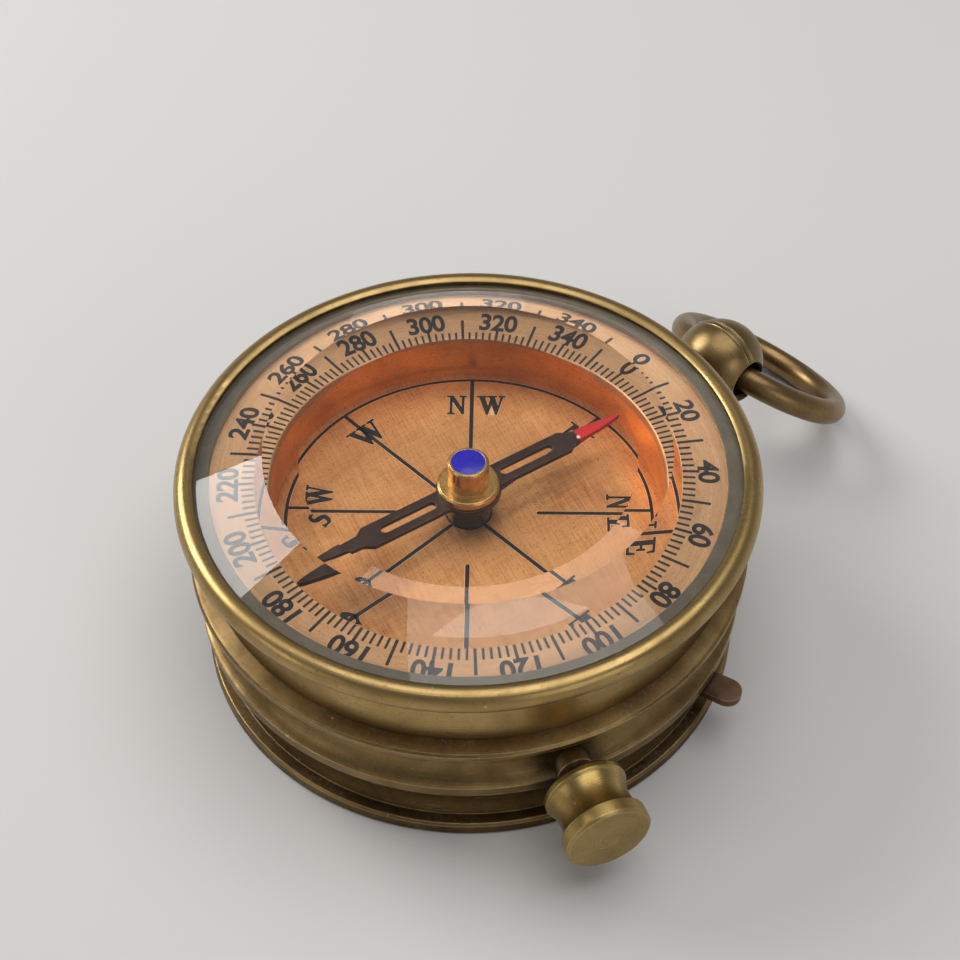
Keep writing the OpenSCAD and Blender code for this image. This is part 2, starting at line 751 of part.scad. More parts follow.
module lever_screw() {
    color("silver") to_bearing(lever_bearing) translate([0, lever_pivot_at, 0]) difference() {
        union() {
            translate([0, 0, plate_floor]) cylinder(r = shoulder_r, h = screw_head_z - plate_floor);
            translate([0, 0, screw_head_z]) cylinder(r = lever_head_r, h = lever_head_t);
        }
        translate([-slot_w / 2, -lever_head_r, screw_head_z + lever_head_t - slot_w])
            cube([slot_w, 2 * lever_head_r, slot_w]);
    }
}

module lever_washer() {
    color("silver") to_bearing(lever_bearing) translate([0, lever_pivot_at, 0])
        washer_shape(lever_bore_r, lever_head_r - 2 * fit, screw_head_z - washer_t, screw_head_z);
}

// One half of the needle's outline, pointing along +Y.
module needle_half() {
    difference() {
        polygon([[-arm_w / 2, 0], [arm_w / 2, 0], [arm_w / 2, shoulder_at], [blade_w / 2, shoulder_end],
            [blade_w * 0.38, shoulder_end + blade_l * 0.5], [blade_w * 0.19, shoulder_end + blade_l * 0.84],
            [blade_w * 0.04, needle_l], [-blade_w * 0.04, needle_l],
            [-blade_w * 0.19, shoulder_end + blade_l * 0.84], [-blade_w * 0.38, shoulder_end + blade_l * 0.5],
            [-blade_w / 2, shoulder_end], [-arm_w / 2, shoulder_at]]);
        translate([-arm_slot_w / 2, slot_from + arm_slot_w / 2])
            square([arm_slot_w, arm_slot_l - arm_slot_w]);
        for (y = [slot_from + arm_slot_w / 2, slot_to - arm_slot_w / 2])
            translate([0, y]) circle(r = arm_slot_w / 2);
    }
}

module needle() {
    color("dimgray") to_bearing(needle_bearing) translate([0, 0, needle_z]) linear_extrude(height = needle_t)
        difference() {
            union() {
                circle(r = needle_hub_r);
                needle_half();
                mirror([0, 1]) needle_half();
            }
            circle(r = needle_hole_r);
        }
}

module needle_cap() {
    flange_top = needle_top + cap_flange_t;
    rim = 0.2;
    color("gold") rotate_extrude() difference() {
        union() {
            translate([0, needle_z]) square([needle_hole_r, needle_t]);
            polygon([[0, needle_top], [cap_flange_r, needle_top], [cap_flange_r, flange_top - rim],
                [cap_flange_r - rim, flange_top], [0, flange_top]]);
            polygon([[0, flange_top], [cap_r, flange_top], [cap_r + fit, cap_top_z - rim],
                [cap_r + fit - rim, cap_top_z], [0, cap_top_z]]);
        }
        translate([0, needle_z]) square([cap_bore_r, jewel_z - needle_z]);
        translate([0, jewel_z]) square([jewel_r, cap_top_z]);
    }
}

module needle_jewel() {
    dome_r = (jewel_r * jewel_r + jewel_rise * jewel_rise) / (2 * jewel_rise);
    color("blue") rotate_extrude() difference() {
        union() {
            translate([0, jewel_z]) square([jewel_r, cap_top_z - jewel_z]);
            intersection() {
                translate([0, cap_top_z + jewel_rise - dome_r]) circle(r = dome_r);
                translate([0, cap_top_z]) square([jewel_r, 2 * jewel_rise]);
            }
        }
        polygon([[0, jewel_z], [jewel_cup_r, jewel_z], [0, cup_top]]);
    }
}

module button_knob() {
    waist_from = knob_back_at + knob_back_t;
    waist_to = knob_front_at - knob_front_t;
    half = (waist_to - waist_from) / 2;
    sag = min(knob_back_r, knob_r) - edge - knob_waist_r;
    curve = (half * half + sag * sag) / (2 * sag);
    color("gold") to_bearing(button_bearing) outward(button_z) rotate_extrude() difference() {
        polygon([[0, knob_back_at], [knob_back_r - edge, knob_back_at], [knob_back_r, knob_back_at + edge],
            [knob_back_r, waist_from - edge], [knob_back_r - edge, waist_from],
            [knob_r - edge, waist_to], [knob_r, waist_to + edge], [knob_r, knob_front_at - edge],
            [knob_r - edge, knob_front_at], [0, knob_front_at]]);
        translate([0, knob_back_at]) square([rod_r, rod_out_at - knob_back_at]);
        intersection() {
            translate([knob_waist_r + curve, waist_from + half]) circle(r = curve);
            translate([0, waist_from]) square([2 * knob_r, 2 * half]);
        }
    }
}

module button_rod() {
    color("silver") to_bearing(button_bearing) outward(button_z) rotate_extrude()
        polygon([[0, rod_end_at], [rod_r - nose_l / 2, rod_end_at], [rod_r, rod_end_at + nose_l],
            [rod_r, clip_at], [clip_groove_r, clip_at], [clip_groove_r, clip_at + clip_t],
            [rod_r, clip_at + clip_t], [rod_r, rod_out_at], [0, rod_out_at]]);
}

module button_bush() {
    color("gold") to_bearing(button_bearing) outward(button_z) rotate_extrude() difference() {
        union() {
            translate([0, bush_in_at]) square([bush_r, bush_out_at - bush_in_at]);
            translate([0, bush_in_at]) square([bush_r + bush_flange, bush_flange]);
        }
        translate([0, bush_in_at]) square([rod_bore_r, bush_out_at]);
    }
}

// Studs that rivet the button's guide to the movement plate.
module guide_rivets() {
    for (side = [-1, 1])
        translate([side * 0.6 * guide_half_w, guide_out_at + guide_foot_l / 2, plate_floor])
            cylinder(r = rivet_r, h = plate_t);
}

module button_guide() {
    color("tan") to_bearing(button_bearing) {
        guide_rivets();
        difference() {
            union() {
                translate([-guide_half_w, guide_at, plate_z])
                    cube([2 * guide_half_w, guide_t, button_z - plate_z]);
                translate([-guide_half_w, guide_at, plate_z])
                    cube([2 * guide_half_w, guide_t + guide_foot_l, guide_foot_t]);
                rod_between(guide_half_w, guide_at, guide_out_at, button_z);
            }
            rod_between(rod_bore_r, guide_at - over, guide_out_at + over, button_z);
        }
    }
}

module button_spring() {
    color("silver") to_bearing(button_bearing) outward(button_z) translate([0, 0, guide_out_at])
        coil(button_coil_r, button_wire_r, clip_at - guide_out_at);
}

module button_clip() {
    color("silver") to_bearing(button_bearing) outward(button_z) difference() {
        washer_shape(clip_groove_r, clip_r, clip_at, clip_at + clip_t);
        translate([-clip_t, 0, clip_at - over]) cube([2 * clip_t, clip_r + over, clip_t + 2 * over]);
    }
}

module pendant_collar() {
    color("darkgoldenrod") difference() {
        outward(pendant_z) rotate_extrude()
            polygon([[0, spigot_r], [collar_r, spigot_r], [collar_r, collar_end - edge],
                [collar_r - edge, collar_end], [0, collar_end]]);
        rotate_extrude() case_side();
        cylinder(r = bezel_low_r + 2 * thread_play, h = bezel_top);
        rod_between(stem_tail_r, stem_in_at, stem_step_at, pendant_z);
        rod_between(stem_r, stem_step_at, collar_end + over, pendant_z);
    }
}

module pendant_stem() {
    color("goldenrod") {
        rod_between(stem_tail_r, stem_in_at, stem_step_at, pendant_z);
        rod_between(stem_r, stem_step_at, stem_out_at, pendant_z);
    }
}

// Hole for the ring and its countersunk mouths, around the ball's centre.
module ring_eye() {
    mouth_from = ball_r - 1.15;
    mouth_r = eye_r + eye_bevel;
    translate([0, ball_at, pendant_z]) rotate([0, 90, 0]) {
        translate([0, 0, -ball_r - over]) cylinder(r = eye_r, h = 2 * (ball_r + over));
        for (turn = [0, 180])
            rotate([turn, 0, 0]) translate([0, 0, mouth_from])
                cylinder(r1 = eye_r, r2 = mouth_r, h = eye_bevel);
        for (turn = [0, 180])
            rotate([turn, 0, 0]) translate([0, 0, mouth_from + eye_bevel]) cylinder(r = mouth_r, h = over);
    }
}

module pendant_ball() {
    line_at = -0.4;
    line_w = 0.12;
    color("goldenrod") difference() {
        outward(pendant_z) translate([0, 0, ball_at]) rotate_extrude() difference() {
            intersection() {
                union() {
                    intersection() {
                        circle(r = ball_r);
                        translate([0, -ball_flat]) square([ball_r, ball_flat + bead_from - line_w]);
                    }
                    translate([0, 0]) square([ball_groove_r, split_at]);
                    translate([0, bead_from]) square([bead_r, split_at - bead_from]);
                }
                translate([0, -ball_flat]) square([ball_r, ball_flat + split_at]);
            }
            translate([ball_r - line_w, line_at]) square([ball_r, line_w]);
            translate([0, -ball_flat]) square([stem_r, stem_out_at - ball_at + ball_flat]);
        }
        ring_eye();
    }
}

module pendant_cap() {
    groove_w = 0.12;
    color("goldenrod") difference() {
        outward(pendant_z) translate([0, 0, ball_at]) rotate_extrude() union() {
            intersection() {
                circle(r = ball_cap_r);
                translate([0, split_at + groove_w]) square([ball_cap_r, ball_cap_r]);
            }
            translate([0, split_at]) square([ball_groove_r - 0.03, groove_w]);
        }
        ring_eye();
    }
}

module bow_ring() {
    color("goldenrod") translate([0, ball_at, pendant_z]) rotate([-ring_droop, 0, 0])
        translate([0, ring_out, 0]) rotate_extrude() translate([ring_r, 0]) circle(r = wire_r);
}

case_body();
base_plate();
base_screws();
bezel();
crystal();
crystal_gasket();
degree_ring();
dial_wall();
dial_plate();
movement_plate();
plate_screws();
pivot_post();
pivot_pin();
lifter_collar();
lifter_spring();
lock_lever();
lever_screw();
lever_washer();
needle();
needle_cap();
needle_jewel();
button_knob();
button_rod();
button_bush();
button_guide();
button_spring();
button_clip();
pendant_collar();
pendant_stem();
pendant_ball();
pendant_cap();
bow_ring();
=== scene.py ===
import math

import bmesh
import bpy
from mathutils import Matrix, Vector


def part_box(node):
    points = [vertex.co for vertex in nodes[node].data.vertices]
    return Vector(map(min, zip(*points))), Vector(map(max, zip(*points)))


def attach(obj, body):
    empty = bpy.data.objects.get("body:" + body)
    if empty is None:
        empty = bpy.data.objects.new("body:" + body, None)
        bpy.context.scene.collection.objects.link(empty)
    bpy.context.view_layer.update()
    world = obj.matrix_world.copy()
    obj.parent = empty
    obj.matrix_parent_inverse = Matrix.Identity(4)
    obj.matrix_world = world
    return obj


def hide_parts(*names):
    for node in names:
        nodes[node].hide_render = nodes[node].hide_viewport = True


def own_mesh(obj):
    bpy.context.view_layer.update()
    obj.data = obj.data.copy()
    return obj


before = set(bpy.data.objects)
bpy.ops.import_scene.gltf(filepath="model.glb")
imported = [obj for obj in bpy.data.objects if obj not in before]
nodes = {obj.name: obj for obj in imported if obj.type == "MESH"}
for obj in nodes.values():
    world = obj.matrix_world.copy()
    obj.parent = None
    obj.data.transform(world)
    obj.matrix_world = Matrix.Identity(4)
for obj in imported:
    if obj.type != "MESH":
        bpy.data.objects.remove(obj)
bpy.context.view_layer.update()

mm = 0.001
print("compass: frame loaded,", len(nodes), "pieces")


# Camera, floor and light

cameraSetup = {
    "place": (94.97, -82.56, 157.28),  # mm
    "tilt": 42.81,
    "roll": 0.32,
    "turn": 48.11,
    "lens": 67.5,
}

studioSetup = {
    "floorSize": 1.1,
    "floorColour": (0.62, 0.605, 0.585),
    "skyLow": (0.52, 0.512, 0.503),
    "skyMiddle": (0.18, 0.185, 0.196),
    "skyTop": (0.50, 0.50, 0.495),
    "lampAim": (0, 0, 0.012),
    # name, place in m, size in m, power in W
    "lamps": [
        ("keyLamp", (-0.414, -0.127, 0.339), 0.30, 1.60),
        ("topLamp", (0.011, 0.104, 0.591), 0.60, 1.80),
        ("fillLamp", (0.496, -0.052, 0.276), 0.30, 0.30),
        ("frontLamp", (-0.120, -0.480, 0.224), 0.22, 0.16),
    ],
}


def makeCamera(setup):
    lens = bpy.data.cameras.new("photoCamera")
    lens.lens = setup["lens"]
    lens.sensor_width = 36
    lens.clip_start = 10 * mm
    camera = bpy.data.objects.new("photoCamera", lens)
    camera.location = Vector(setup["place"]) * mm
    camera.rotation_euler = [math.radians(setup[key]) for key in ("tilt", "roll", "turn")]
    bpy.context.scene.collection.objects.link(camera)
    bpy.context.scene.camera = camera


# Small helpers for node trees

def put(tree, kind, settings=None, feeds=None):
    node = tree.nodes.new("ShaderNode" + kind)
    for key, value in (settings or {}).items():
        setattr(node, key, value)
    for key, value in (feeds or {}).items():
        if isinstance(value, bpy.types.NodeSocket):
            tree.links.new(value, node.inputs[key])
        else:
            node.inputs[key].default_value = value
    return node


def calc(tree, operation, first, second=0.0, third=0.0, clamp=False):
    return put(tree, "Math", {"operation": operation, "use_clamp": clamp},
               {0: first, 1: second, 2: third}).outputs[0]


def vectorCalc(tree, operation, first, second=None, result=0):
    feeds = {0: first} if second is None else {0: first, 1: second}
    return put(tree, "VectorMath", {"operation": operation}, feeds).outputs[result]


def blendColour(tree, factor, low, high, kind="MIX"):
    feeds = {0: factor, 6: low, 7: high}
    return put(tree, "Mix", {"data_type": "RGBA", "blend_type": kind}, feeds).outputs[2]


def spread(tree, value, low, high, toLow=0.0, toHigh=1.0, smooth=False):
    kind = "SMOOTHSTEP" if smooth else "LINEAR"
    feeds = {0: value, 1: low, 2: high, 3: toLow, 4: toHigh}
    return put(tree, "MapRange", {"interpolation_type": kind, "clamp": True}, feeds).outputs[0]


def noise(tree, place, perMetre, detail=3.0, roughness=0.55, warp=0.0):
    feeds = {"Vector": place, "Scale": perMetre, "Detail": detail, "Roughness": roughness,
             "Distortion": warp}
    return put(tree, "TexNoise", None, feeds).outputs[0]


def rgba(colour):
    return (colour[0], colour[1], colour[2], 1.0)


def startGroup(name, inputs, outputs):
    group = bpy.data.node_groups.new(name, "ShaderNodeTree")
    for label, kind, value in inputs:
        socket = group.interface.new_socket(label, in_out="INPUT", socket_type="NodeSocket" + kind)
        if value is not None:
            socket.default_value = value
    for label, kind in outputs:
        group.interface.new_socket(label, in_out="OUTPUT", socket_type="NodeSocket" + kind)
    given = group.nodes.new("NodeGroupInput").outputs
    result = group.nodes.new("NodeGroupOutput").inputs
    return group, given, result


def useGroup(tree, group, feeds):
    node = tree.nodes.new("ShaderNodeGroup")
    node.node_tree = group
    for key, value in feeds.items():
        if isinstance(value, bpy.types.NodeSocket):
            tree.links.new(value, node.inputs[key])
        else:
            node.inputs[key].default_value = value
    return node.outputs


# Effects that several finishes share

def makeTurnedGrain():
    # Fine rings left by the lathe around an axis, and the few deeper hairlines among them
    group, given, result = startGroup(
        "turnedGrain",
        [("Place", "Vector", None), ("Centre", "Vector", None), ("Axis", "Vector", (0, 0, 1)),
         ("Lines per mm", "Float", 8.0)],
        [("Grain", "Float"), ("Hairlines", "Float")])
    arm = vectorCalc(group, "SUBTRACT", given["Place"], given["Centre"])
    along = vectorCalc(group, "DOT_PRODUCT", arm, given["Axis"], 1)
    around = vectorCalc(group, "CROSS_PRODUCT", arm, given["Axis"])
    across = vectorCalc(group, "LENGTH", around, None, 1)
    scale = calc(group, "MULTIPLY", given["Lines per mm"], 1 / mm)
    drift = noise(group, given["Place"], 90.0, 2.0)
    for label, share, sway, low, high in (("Grain", 1.0, 9.0, 0.30, 0.70),
                                          ("Hairlines", 0.55, 3.0, 0.655, 0.70)):
        step = calc(group, "MULTIPLY", scale, share)
        track = put(group, "CombineXYZ", None, {
            0: calc(group, "MULTIPLY", across, step),
            1: calc(group, "MULTIPLY", along, step),
            2: calc(group, "MULTIPLY", drift, sway)}).outputs[0]
        fine = spread(group, noise(group, track, 1.0, 3.0, 0.6), low, high)
        if label == "Hairlines":
            kept = spread(group, noise(group, given["Place"], 330.0, 2.0), 0.50, 0.58)
            fine = calc(group, "MULTIPLY", fine, kept)
        group.links.new(fine, result[label])
    return group


def makeBrushedGrain():
    # Straight strokes in one direction, with a second, weaker set across them
    group, given, result = startGroup(
        "brushedGrain",
        [("Place", "Vector", None), ("Turn", "Float", 0.0), ("Lines per mm", "Float", 9.0)],
        [("Grain", "Float"), ("Cross Grain", "Float")])
    scale = calc(group, "MULTIPLY", given["Lines per mm"], 1 / mm)
    for label, extra in (("Grain", 0.0), ("Cross Grain", math.radians(78))):
        angle = calc(group, "ADD", given["Turn"], extra)
        turned = put(group, "VectorRotate", {"rotation_type": "Z_AXIS"},
                     {"Vector": given["Place"], "Angle": angle}).outputs[0]
        parts = put(group, "SeparateXYZ", None, {0: turned}).outputs
        track = put(group, "CombineXYZ", None, {
            0: calc(group, "MULTIPLY", parts[0], scale),
            1: calc(group, "MULTIPLY", calc(group, "MULTIPLY", parts[1], scale), 0.035),
            2: extra}).outputs[0]
        strokes = noise(group, track, 1.0, 4.0, 0.65)
        group.links.new(spread(group, strokes, 0.32, 0.68), result[label])
    return group


def makeEdgeWear():
    # Rounds the normal at an edge and marks where hands have rubbed it bright
    group, given, result = startGroup(
        "edgeWear",
        [("Place", "Vector", None), ("Width", "Float", 0.2 * mm), ("Breakup", "Float", 0.5)],
        [("Normal", "Vector"), ("Wear", "Float")])
    rounded = put(group, "Bevel", {"samples": 6}, {"Radius": given["Width"]}).outputs[0]
    flat = put(group, "NewGeometry").outputs["Normal"]
    bend = calc(group, "SUBTRACT", 1.0, vectorCalc(group, "DOT_PRODUCT", rounded, flat, 1))
    edge = spread(group, bend, 0.008, 0.12, smooth=True)
    rub = spread(group, noise(group, given["Place"], 700.0, 5.0, 0.65), 0.38, 0.62)
    kept = calc(group, "SUBTRACT", 1.0, calc(group, "MULTIPLY", rub, given["Breakup"]))
    group.links.new(rounded, result["Normal"])
    group.links.new(calc(group, "MULTIPLY", edge, kept, clamp=True), result["Wear"])
    return group


def makeGrime():
    # Dark film in corners and grooves, partly grime and partly painted shade where little light
    # reaches, and pale dust where it can lie
    group, given, result = startGroup(
        "shadedGrime",
        [("Place", "Vector", None), ("Reach", "Float", 1.2 * mm), ("Dustiness", "Float", 0.5)],
        [("Shaded Grime", "Float"), ("Dust", "Float")])
    openness = put(group, "AmbientOcclusion", {"samples": 6}, {"Distance": given["Reach"]})
    corner = calc(group, "SUBTRACT", 1.0, openness.outputs["AO"])
    uneven = spread(group, noise(group, given["Place"], 420.0, 4.0, 0.6), 0.3, 0.75, 0.55, 1.25)
    shadedGrimeMask = calc(group, "MULTIPLY", spread(group, corner, 0.08, 0.6, smooth=True), uneven, clamp=True)
    up = put(group, "SeparateXYZ", None, {0: put(group, "NewGeometry").outputs["Normal"]}).outputs[2]
    lie = spread(group, up, 0.25, 0.95)
    specks = spread(group, noise(group, given["Place"], 2600.0, 4.0, 0.7), 0.47, 0.60)
    heaps = spread(group, noise(group, given["Place"], 300.0, 3.0, 0.6), 0.40, 0.66)
    near = spread(group, corner, 0.02, 0.30)
    cover = calc(group, "MULTIPLY", calc(group, "MULTIPLY", lie, near),
                 calc(group, "MULTIPLY", specks, heaps))
    group.links.new(shadedGrimeMask, result["Shaded Grime"])
    group.links.new(calc(group, "MULTIPLY", cover, given["Dustiness"], clamp=True), result["Dust"])
    return group


def makeTarnish():
    # Cloudy darkening and small spots of old brass
    group, given, result = startGroup(
        "tarnish",
        [("Place", "Vector", None), ("Cloud Size", "Float", 6.0 * mm),
         ("Spot Size", "Float", 0.35 * mm)],
        [("Cloud", "Float"), ("Spots", "Float")])
    cloudScale = calc(group, "DIVIDE", 1.0, given["Cloud Size"])
    spotScale = calc(group, "DIVIDE", 1.0, given["Spot Size"])
    cloud = noise(group, given["Place"], cloudScale, 5.0, 0.62, 0.4)
    spots = noise(group, given["Place"], spotScale, 2.0, 0.5)
    group.links.new(spread(group, cloud, 0.34, 0.68), result["Cloud"])
    group.links.new(spread(group, spots, 0.60, 0.72), result["Spots"])
    return group


def makeNicks():
    # Short nicks and pinpricks from years of use, each turned its own way
    group, given, result = startGroup(
        "nicks",
        [("Place", "Vector", None), ("Spacing", "Float", 2.0 * mm), ("Amount", "Float", 0.5)],
        [("Nick", "Float")])
    scale = calc(group, "DIVIDE", 1.0, given["Spacing"])
    found = None
    for turn, squeeze in ((0.5, 0.22), (1.9, 0.35), (2.8, 1.0)):
        turned = put(group, "VectorRotate", {"rotation_type": "EULER_XYZ"},
                     {"Vector": given["Place"],
                      "Rotation": (turn, turn * 0.6, turn * 1.7)}).outputs[0]
        stretched = vectorCalc(group, "MULTIPLY", turned, (1.0, squeeze, 1.0))
        cells = put(group, "TexVoronoi", {"feature": "F1"},
                    {"Vector": stretched, "Scale": scale}).outputs
        tone = put(group, "SeparateXYZ", None, {0: cells[1]}).outputs[0]
        mark = spread(group, cells[0], 0.035, 0.07, 1.0, 0.0)
        mark = calc(group, "MULTIPLY", mark, calc(group, "LESS_THAN", tone, given["Amount"]))
        found = mark if found is None else calc(group, "MAXIMUM", found, mark)
    group.links.new(found, result["Nick"])
    return group


turnedGrain = makeTurnedGrain()
brushedGrain = makeBrushedGrain()
edgeWear = makeEdgeWear()
shadedGrime = makeGrime()
tarnish = makeTarnish()
nicks = makeNicks()
print("compass: shared effects built")


# Materials

def startMaterial(name):
    material = bpy.data.materials.new(name)
    material.use_nodes = True
    tree = material.node_tree
    shader = tree.nodes["Principled BSDF"]
    place = put(tree, "TexCoord").outputs["Object"]
    return material, tree, shader, place


def agedBrass(name, look):
    material, tree, shader, place = startMaterial(name)
    wear = useGroup(tree, edgeWear, {"Place": place, "Width": look["edgeWidth"] * mm,
                                     "Breakup": look["wearBreakup"]})
    dirtAndShade = useGroup(tree, shadedGrime, {"Place": place, "Reach": look["shadedGrimeReach"] * mm,
                                  "Dustiness": look["dust"]})
    aged = useGroup(tree, tarnish, {"Place": place, "Cloud Size": look["cloudSize"] * mm})
    turned = useGroup(tree, turnedGrain, {
        "Place": place, "Centre": Vector(look["centre"]) * mm, "Axis": look["axis"],
        "Lines per mm": look["linesPerMm"]})
    rings = turned["Grain"]
    nick = useGroup(tree, nicks, {"Place": place, "Spacing": look["nickSpacing"] * mm,
                                  "Amount": look["nickShare"]})["Nick"]
    hairlines = calc(tree, "MULTIPLY", turned["Hairlines"], look["hairlines"])
    marks = calc(tree, "MAXIMUM", nick, hairlines)

    colour = blendColour(tree, calc(tree, "MULTIPLY", aged["Cloud"], look["cloudAmount"]),
                         rgba(look["metal"]), rgba(look["tarnished"]))
    colour = blendColour(tree, calc(tree, "MULTIPLY", aged["Spots"], look["spots"]), colour,
                         rgba(look["dark"]))
    colour = blendColour(tree, calc(tree, "MULTIPLY", rings, look["ringTone"]), colour,
                         rgba(look["dark"]))
    colour = blendColour(tree, calc(tree, "MULTIPLY", marks, look["markTone"]), colour,
                         rgba(look["bright"]))
    colour = blendColour(tree, calc(tree, "MULTIPLY", wear["Wear"], look["wearAmount"]), colour,
                         rgba(look["bright"]))
    # painted shade with grime: closed-in corners and grooves are darkened
    colour = blendColour(tree, calc(tree, "MULTIPLY", dirtAndShade["Shaded Grime"], look["shadedGrimeAmount"]), colour,
                         rgba(look["dark"]))
    colour = blendColour(tree, dirtAndShade["Dust"], colour, rgba(look["dustColour"]))
    tree.links.new(colour, shader.inputs["Base Color"])
    tree.links.new(calc(tree, "SUBTRACT", 1.0, dirtAndShade["Dust"]), shader.inputs["Metallic"])

    rough = calc(tree, "MULTIPLY_ADD", aged["Cloud"], look["cloudRough"], look["rough"])
    rough = calc(tree, "MULTIPLY_ADD", rings, look["ringRough"], rough)
    rough = calc(tree, "MULTIPLY_ADD", dirtAndShade["Shaded Grime"], look["shadedGrimeRough"], rough)
    rough = calc(tree, "MULTIPLY_ADD", wear["Wear"], -look["wearGloss"], rough)
    rough = calc(tree, "MULTIPLY_ADD", dirtAndShade["Dust"], look["dustRough"], rough, clamp=True)
    tree.links.new(rough, shader.inputs["Roughness"])

    height = calc(tree, "MULTIPLY", rings, look["grainDepth"])
    height = calc(tree, "MULTIPLY_ADD", aged["Spots"], -look["spotDepth"], height)
    height = calc(tree, "MULTIPLY_ADD", marks, -look["markDepth"], height)
    height = calc(tree, "MULTIPLY_ADD", dirtAndShade["Dust"], look["dustHeight"], height)
    bump = put(tree, "Bump", None, {"Strength": 1.0, "Distance": look["bumpDepth"] * mm,
                                    "Height": height, "Normal": wear["Normal"]})
    tree.links.new(bump.outputs[0], shader.inputs["Normal"])
    return material


def copperSheet(name, look):
    # The dial, its wall and the degree ring: brushed or turned copper
    material, tree, shader, place = startMaterial(name)
    wear = useGroup(tree, edgeWear, {"Place": place, "Width": look["edgeWidth"] * mm,
                                     "Breakup": look["wearBreakup"]})
    aged = useGroup(tree, tarnish, {"Place": place, "Cloud Size": look["cloudSize"] * mm,
                                    "Spot Size": look["spotSize"] * mm})
    strokes = useGroup(tree, brushedGrain, {"Place": place, "Turn": math.radians(look["brushTurn"]),
                                            "Lines per mm": look["linesPerMm"]})
    rings = useGroup(tree, turnedGrain, {"Place": place, "Lines per mm": look["linesPerMm"]})["Grain"]
    grain = calc(tree, "MULTIPLY", strokes["Grain"], look["brushed"])
    crossing = look["brushed"] * look["crossShare"]
    grain = calc(tree, "MULTIPLY_ADD", strokes["Cross Grain"], crossing, grain)
    grain = calc(tree, "MULTIPLY_ADD", rings, look["turned"], grain)

    colour = blendColour(tree, calc(tree, "MULTIPLY", aged["Cloud"], look["cloudAmount"]),
                         rgba(look["metal"]), rgba(look["tarnished"]))
    colour = blendColour(tree, spread(tree, grain, 0.35, 1.25, 0.0, look["grainContrast"]), colour,
                         rgba(look["bright"]))
    colour = blendColour(tree, calc(tree, "MULTIPLY", aged["Spots"], look["spotAmount"]), colour,
                         rgba(look["dark"]))
    tree.links.new(colour, shader.inputs["Base Color"])
    shader.inputs["Metallic"].default_value = 1.0
    rough = calc(tree, "MULTIPLY_ADD", grain, look["grainRough"], look["rough"])
    rough = calc(tree, "MULTIPLY_ADD", aged["Cloud"], look["cloudRough"], rough, clamp=True)
    tree.links.new(rough, shader.inputs["Roughness"])
    height = calc(tree, "MULTIPLY_ADD", aged["Spots"], -look["spotDepth"], grain)
    bump = put(tree, "Bump", None, {"Strength": 1.0, "Distance": look["grainDepth"] * mm,
                                    "Height": height, "Normal": wear["Normal"]})
    tree.links.new(bump.outputs[0], shader.inputs["Normal"])
    return material


def blackInk(name, look):
    # Fired enamel in the dial's and the ring's engraved marks
    material, tree, shader, place = startMaterial(name)
    patch = noise(tree, place, 900.0, 4.0, 0.6)
    tree.links.new(blendColour(tree, spread(tree, patch, 0.4, 0.7), rgba(look["ink"]),
                               rgba(look["thin"])), shader.inputs["Base Color"])
    tree.links.new(spread(tree, patch, 0.3, 0.7, look["rough"], look["rough"] + 0.2),
                   shader.inputs["Roughness"])
    shader.inputs["Specular IOR Level"].default_value = look["specular"]
    bump = put(tree, "Bump", None, {"Distance": 0.004 * mm, "Height": patch})
    tree.links.new(bump.outputs[0], shader.inputs["Normal"])
    return material


def needleBlue(name, look):
    # Dark needle with one tip enamelled red
    material, tree, shader, place = startMaterial(name)
    wear = useGroup(tree, edgeWear, {"Place": place, "Width": 0.10 * mm, "Breakup": 0.6})
    aged = useGroup(tree, tarnish, {"Place": place, "Cloud Size": 2.5 * mm})
    strokes = useGroup(tree, brushedGrain, {
        "Place": place, "Turn": math.radians(look["restBearing"] + 90), "Lines per mm": 11.0})["Grain"]
    bearing = math.radians(look["restBearing"])
    north = (math.sin(bearing), math.cos(bearing), 0)
    along = vectorCalc(tree, "DOT_PRODUCT", place, north, 1)
    wander = noise(tree, place, 900.0, 3.0)
    ragged = calc(tree, "MULTIPLY_ADD", wander, look["paintWander"] * mm, along)
    paint = spread(tree, ragged, look["paintFrom"] * mm, (look["paintFrom"] + 0.15) * mm)
    steel = blendColour(tree, calc(tree, "MULTIPLY", aged["Cloud"], 0.6), rgba(look["steel"]),
                        rgba(look["steelWorn"]))
    steel = blendColour(tree, calc(tree, "MULTIPLY", wear["Wear"], 0.55), steel, rgba(look["edge"]))
    red = blendColour(tree, aged["Cloud"], rgba(look["red"]), rgba(look["redDeep"]))
    chip = vectorCalc(tree, "DISTANCE", place, Vector(look["chipPlace"]) * mm, 1)
    chip = calc(tree, "MULTIPLY_ADD", noise(tree, place, 1500.0, 3.0), 0.5 * mm, chip)
    chip = spread(tree, chip, look["chipSize"] * mm, (look["chipSize"] + 0.08) * mm, 1.0, 0.0)
    colour = blendColour(tree, paint, steel, red)
    tree.links.new(blendColour(tree, chip, colour, rgba(look["primer"])), shader.inputs["Base Color"])
    bare = calc(tree, "SUBTRACT", 1.0, calc(tree, "MAXIMUM", paint, chip))
    tree.links.new(calc(tree, "MULTIPLY", bare, 0.85), shader.inputs["Metallic"])
    rough = calc(tree, "MULTIPLY_ADD", strokes, 0.12, look["rough"])
    tree.links.new(calc(tree, "MULTIPLY_ADD", aged["Cloud"], 0.12, rough), shader.inputs["Roughness"])
    height = calc(tree, "MULTIPLY_ADD", paint, 2.0, calc(tree, "MULTIPLY", strokes, 0.6))
    height = calc(tree, "MULTIPLY_ADD", chip, -1.5, height)
    bump = put(tree, "Bump", None, {"Distance": 0.006 * mm, "Height": height,
                                    "Normal": wear["Normal"]})
    tree.links.new(bump.outputs[0], shader.inputs["Normal"])
    return material


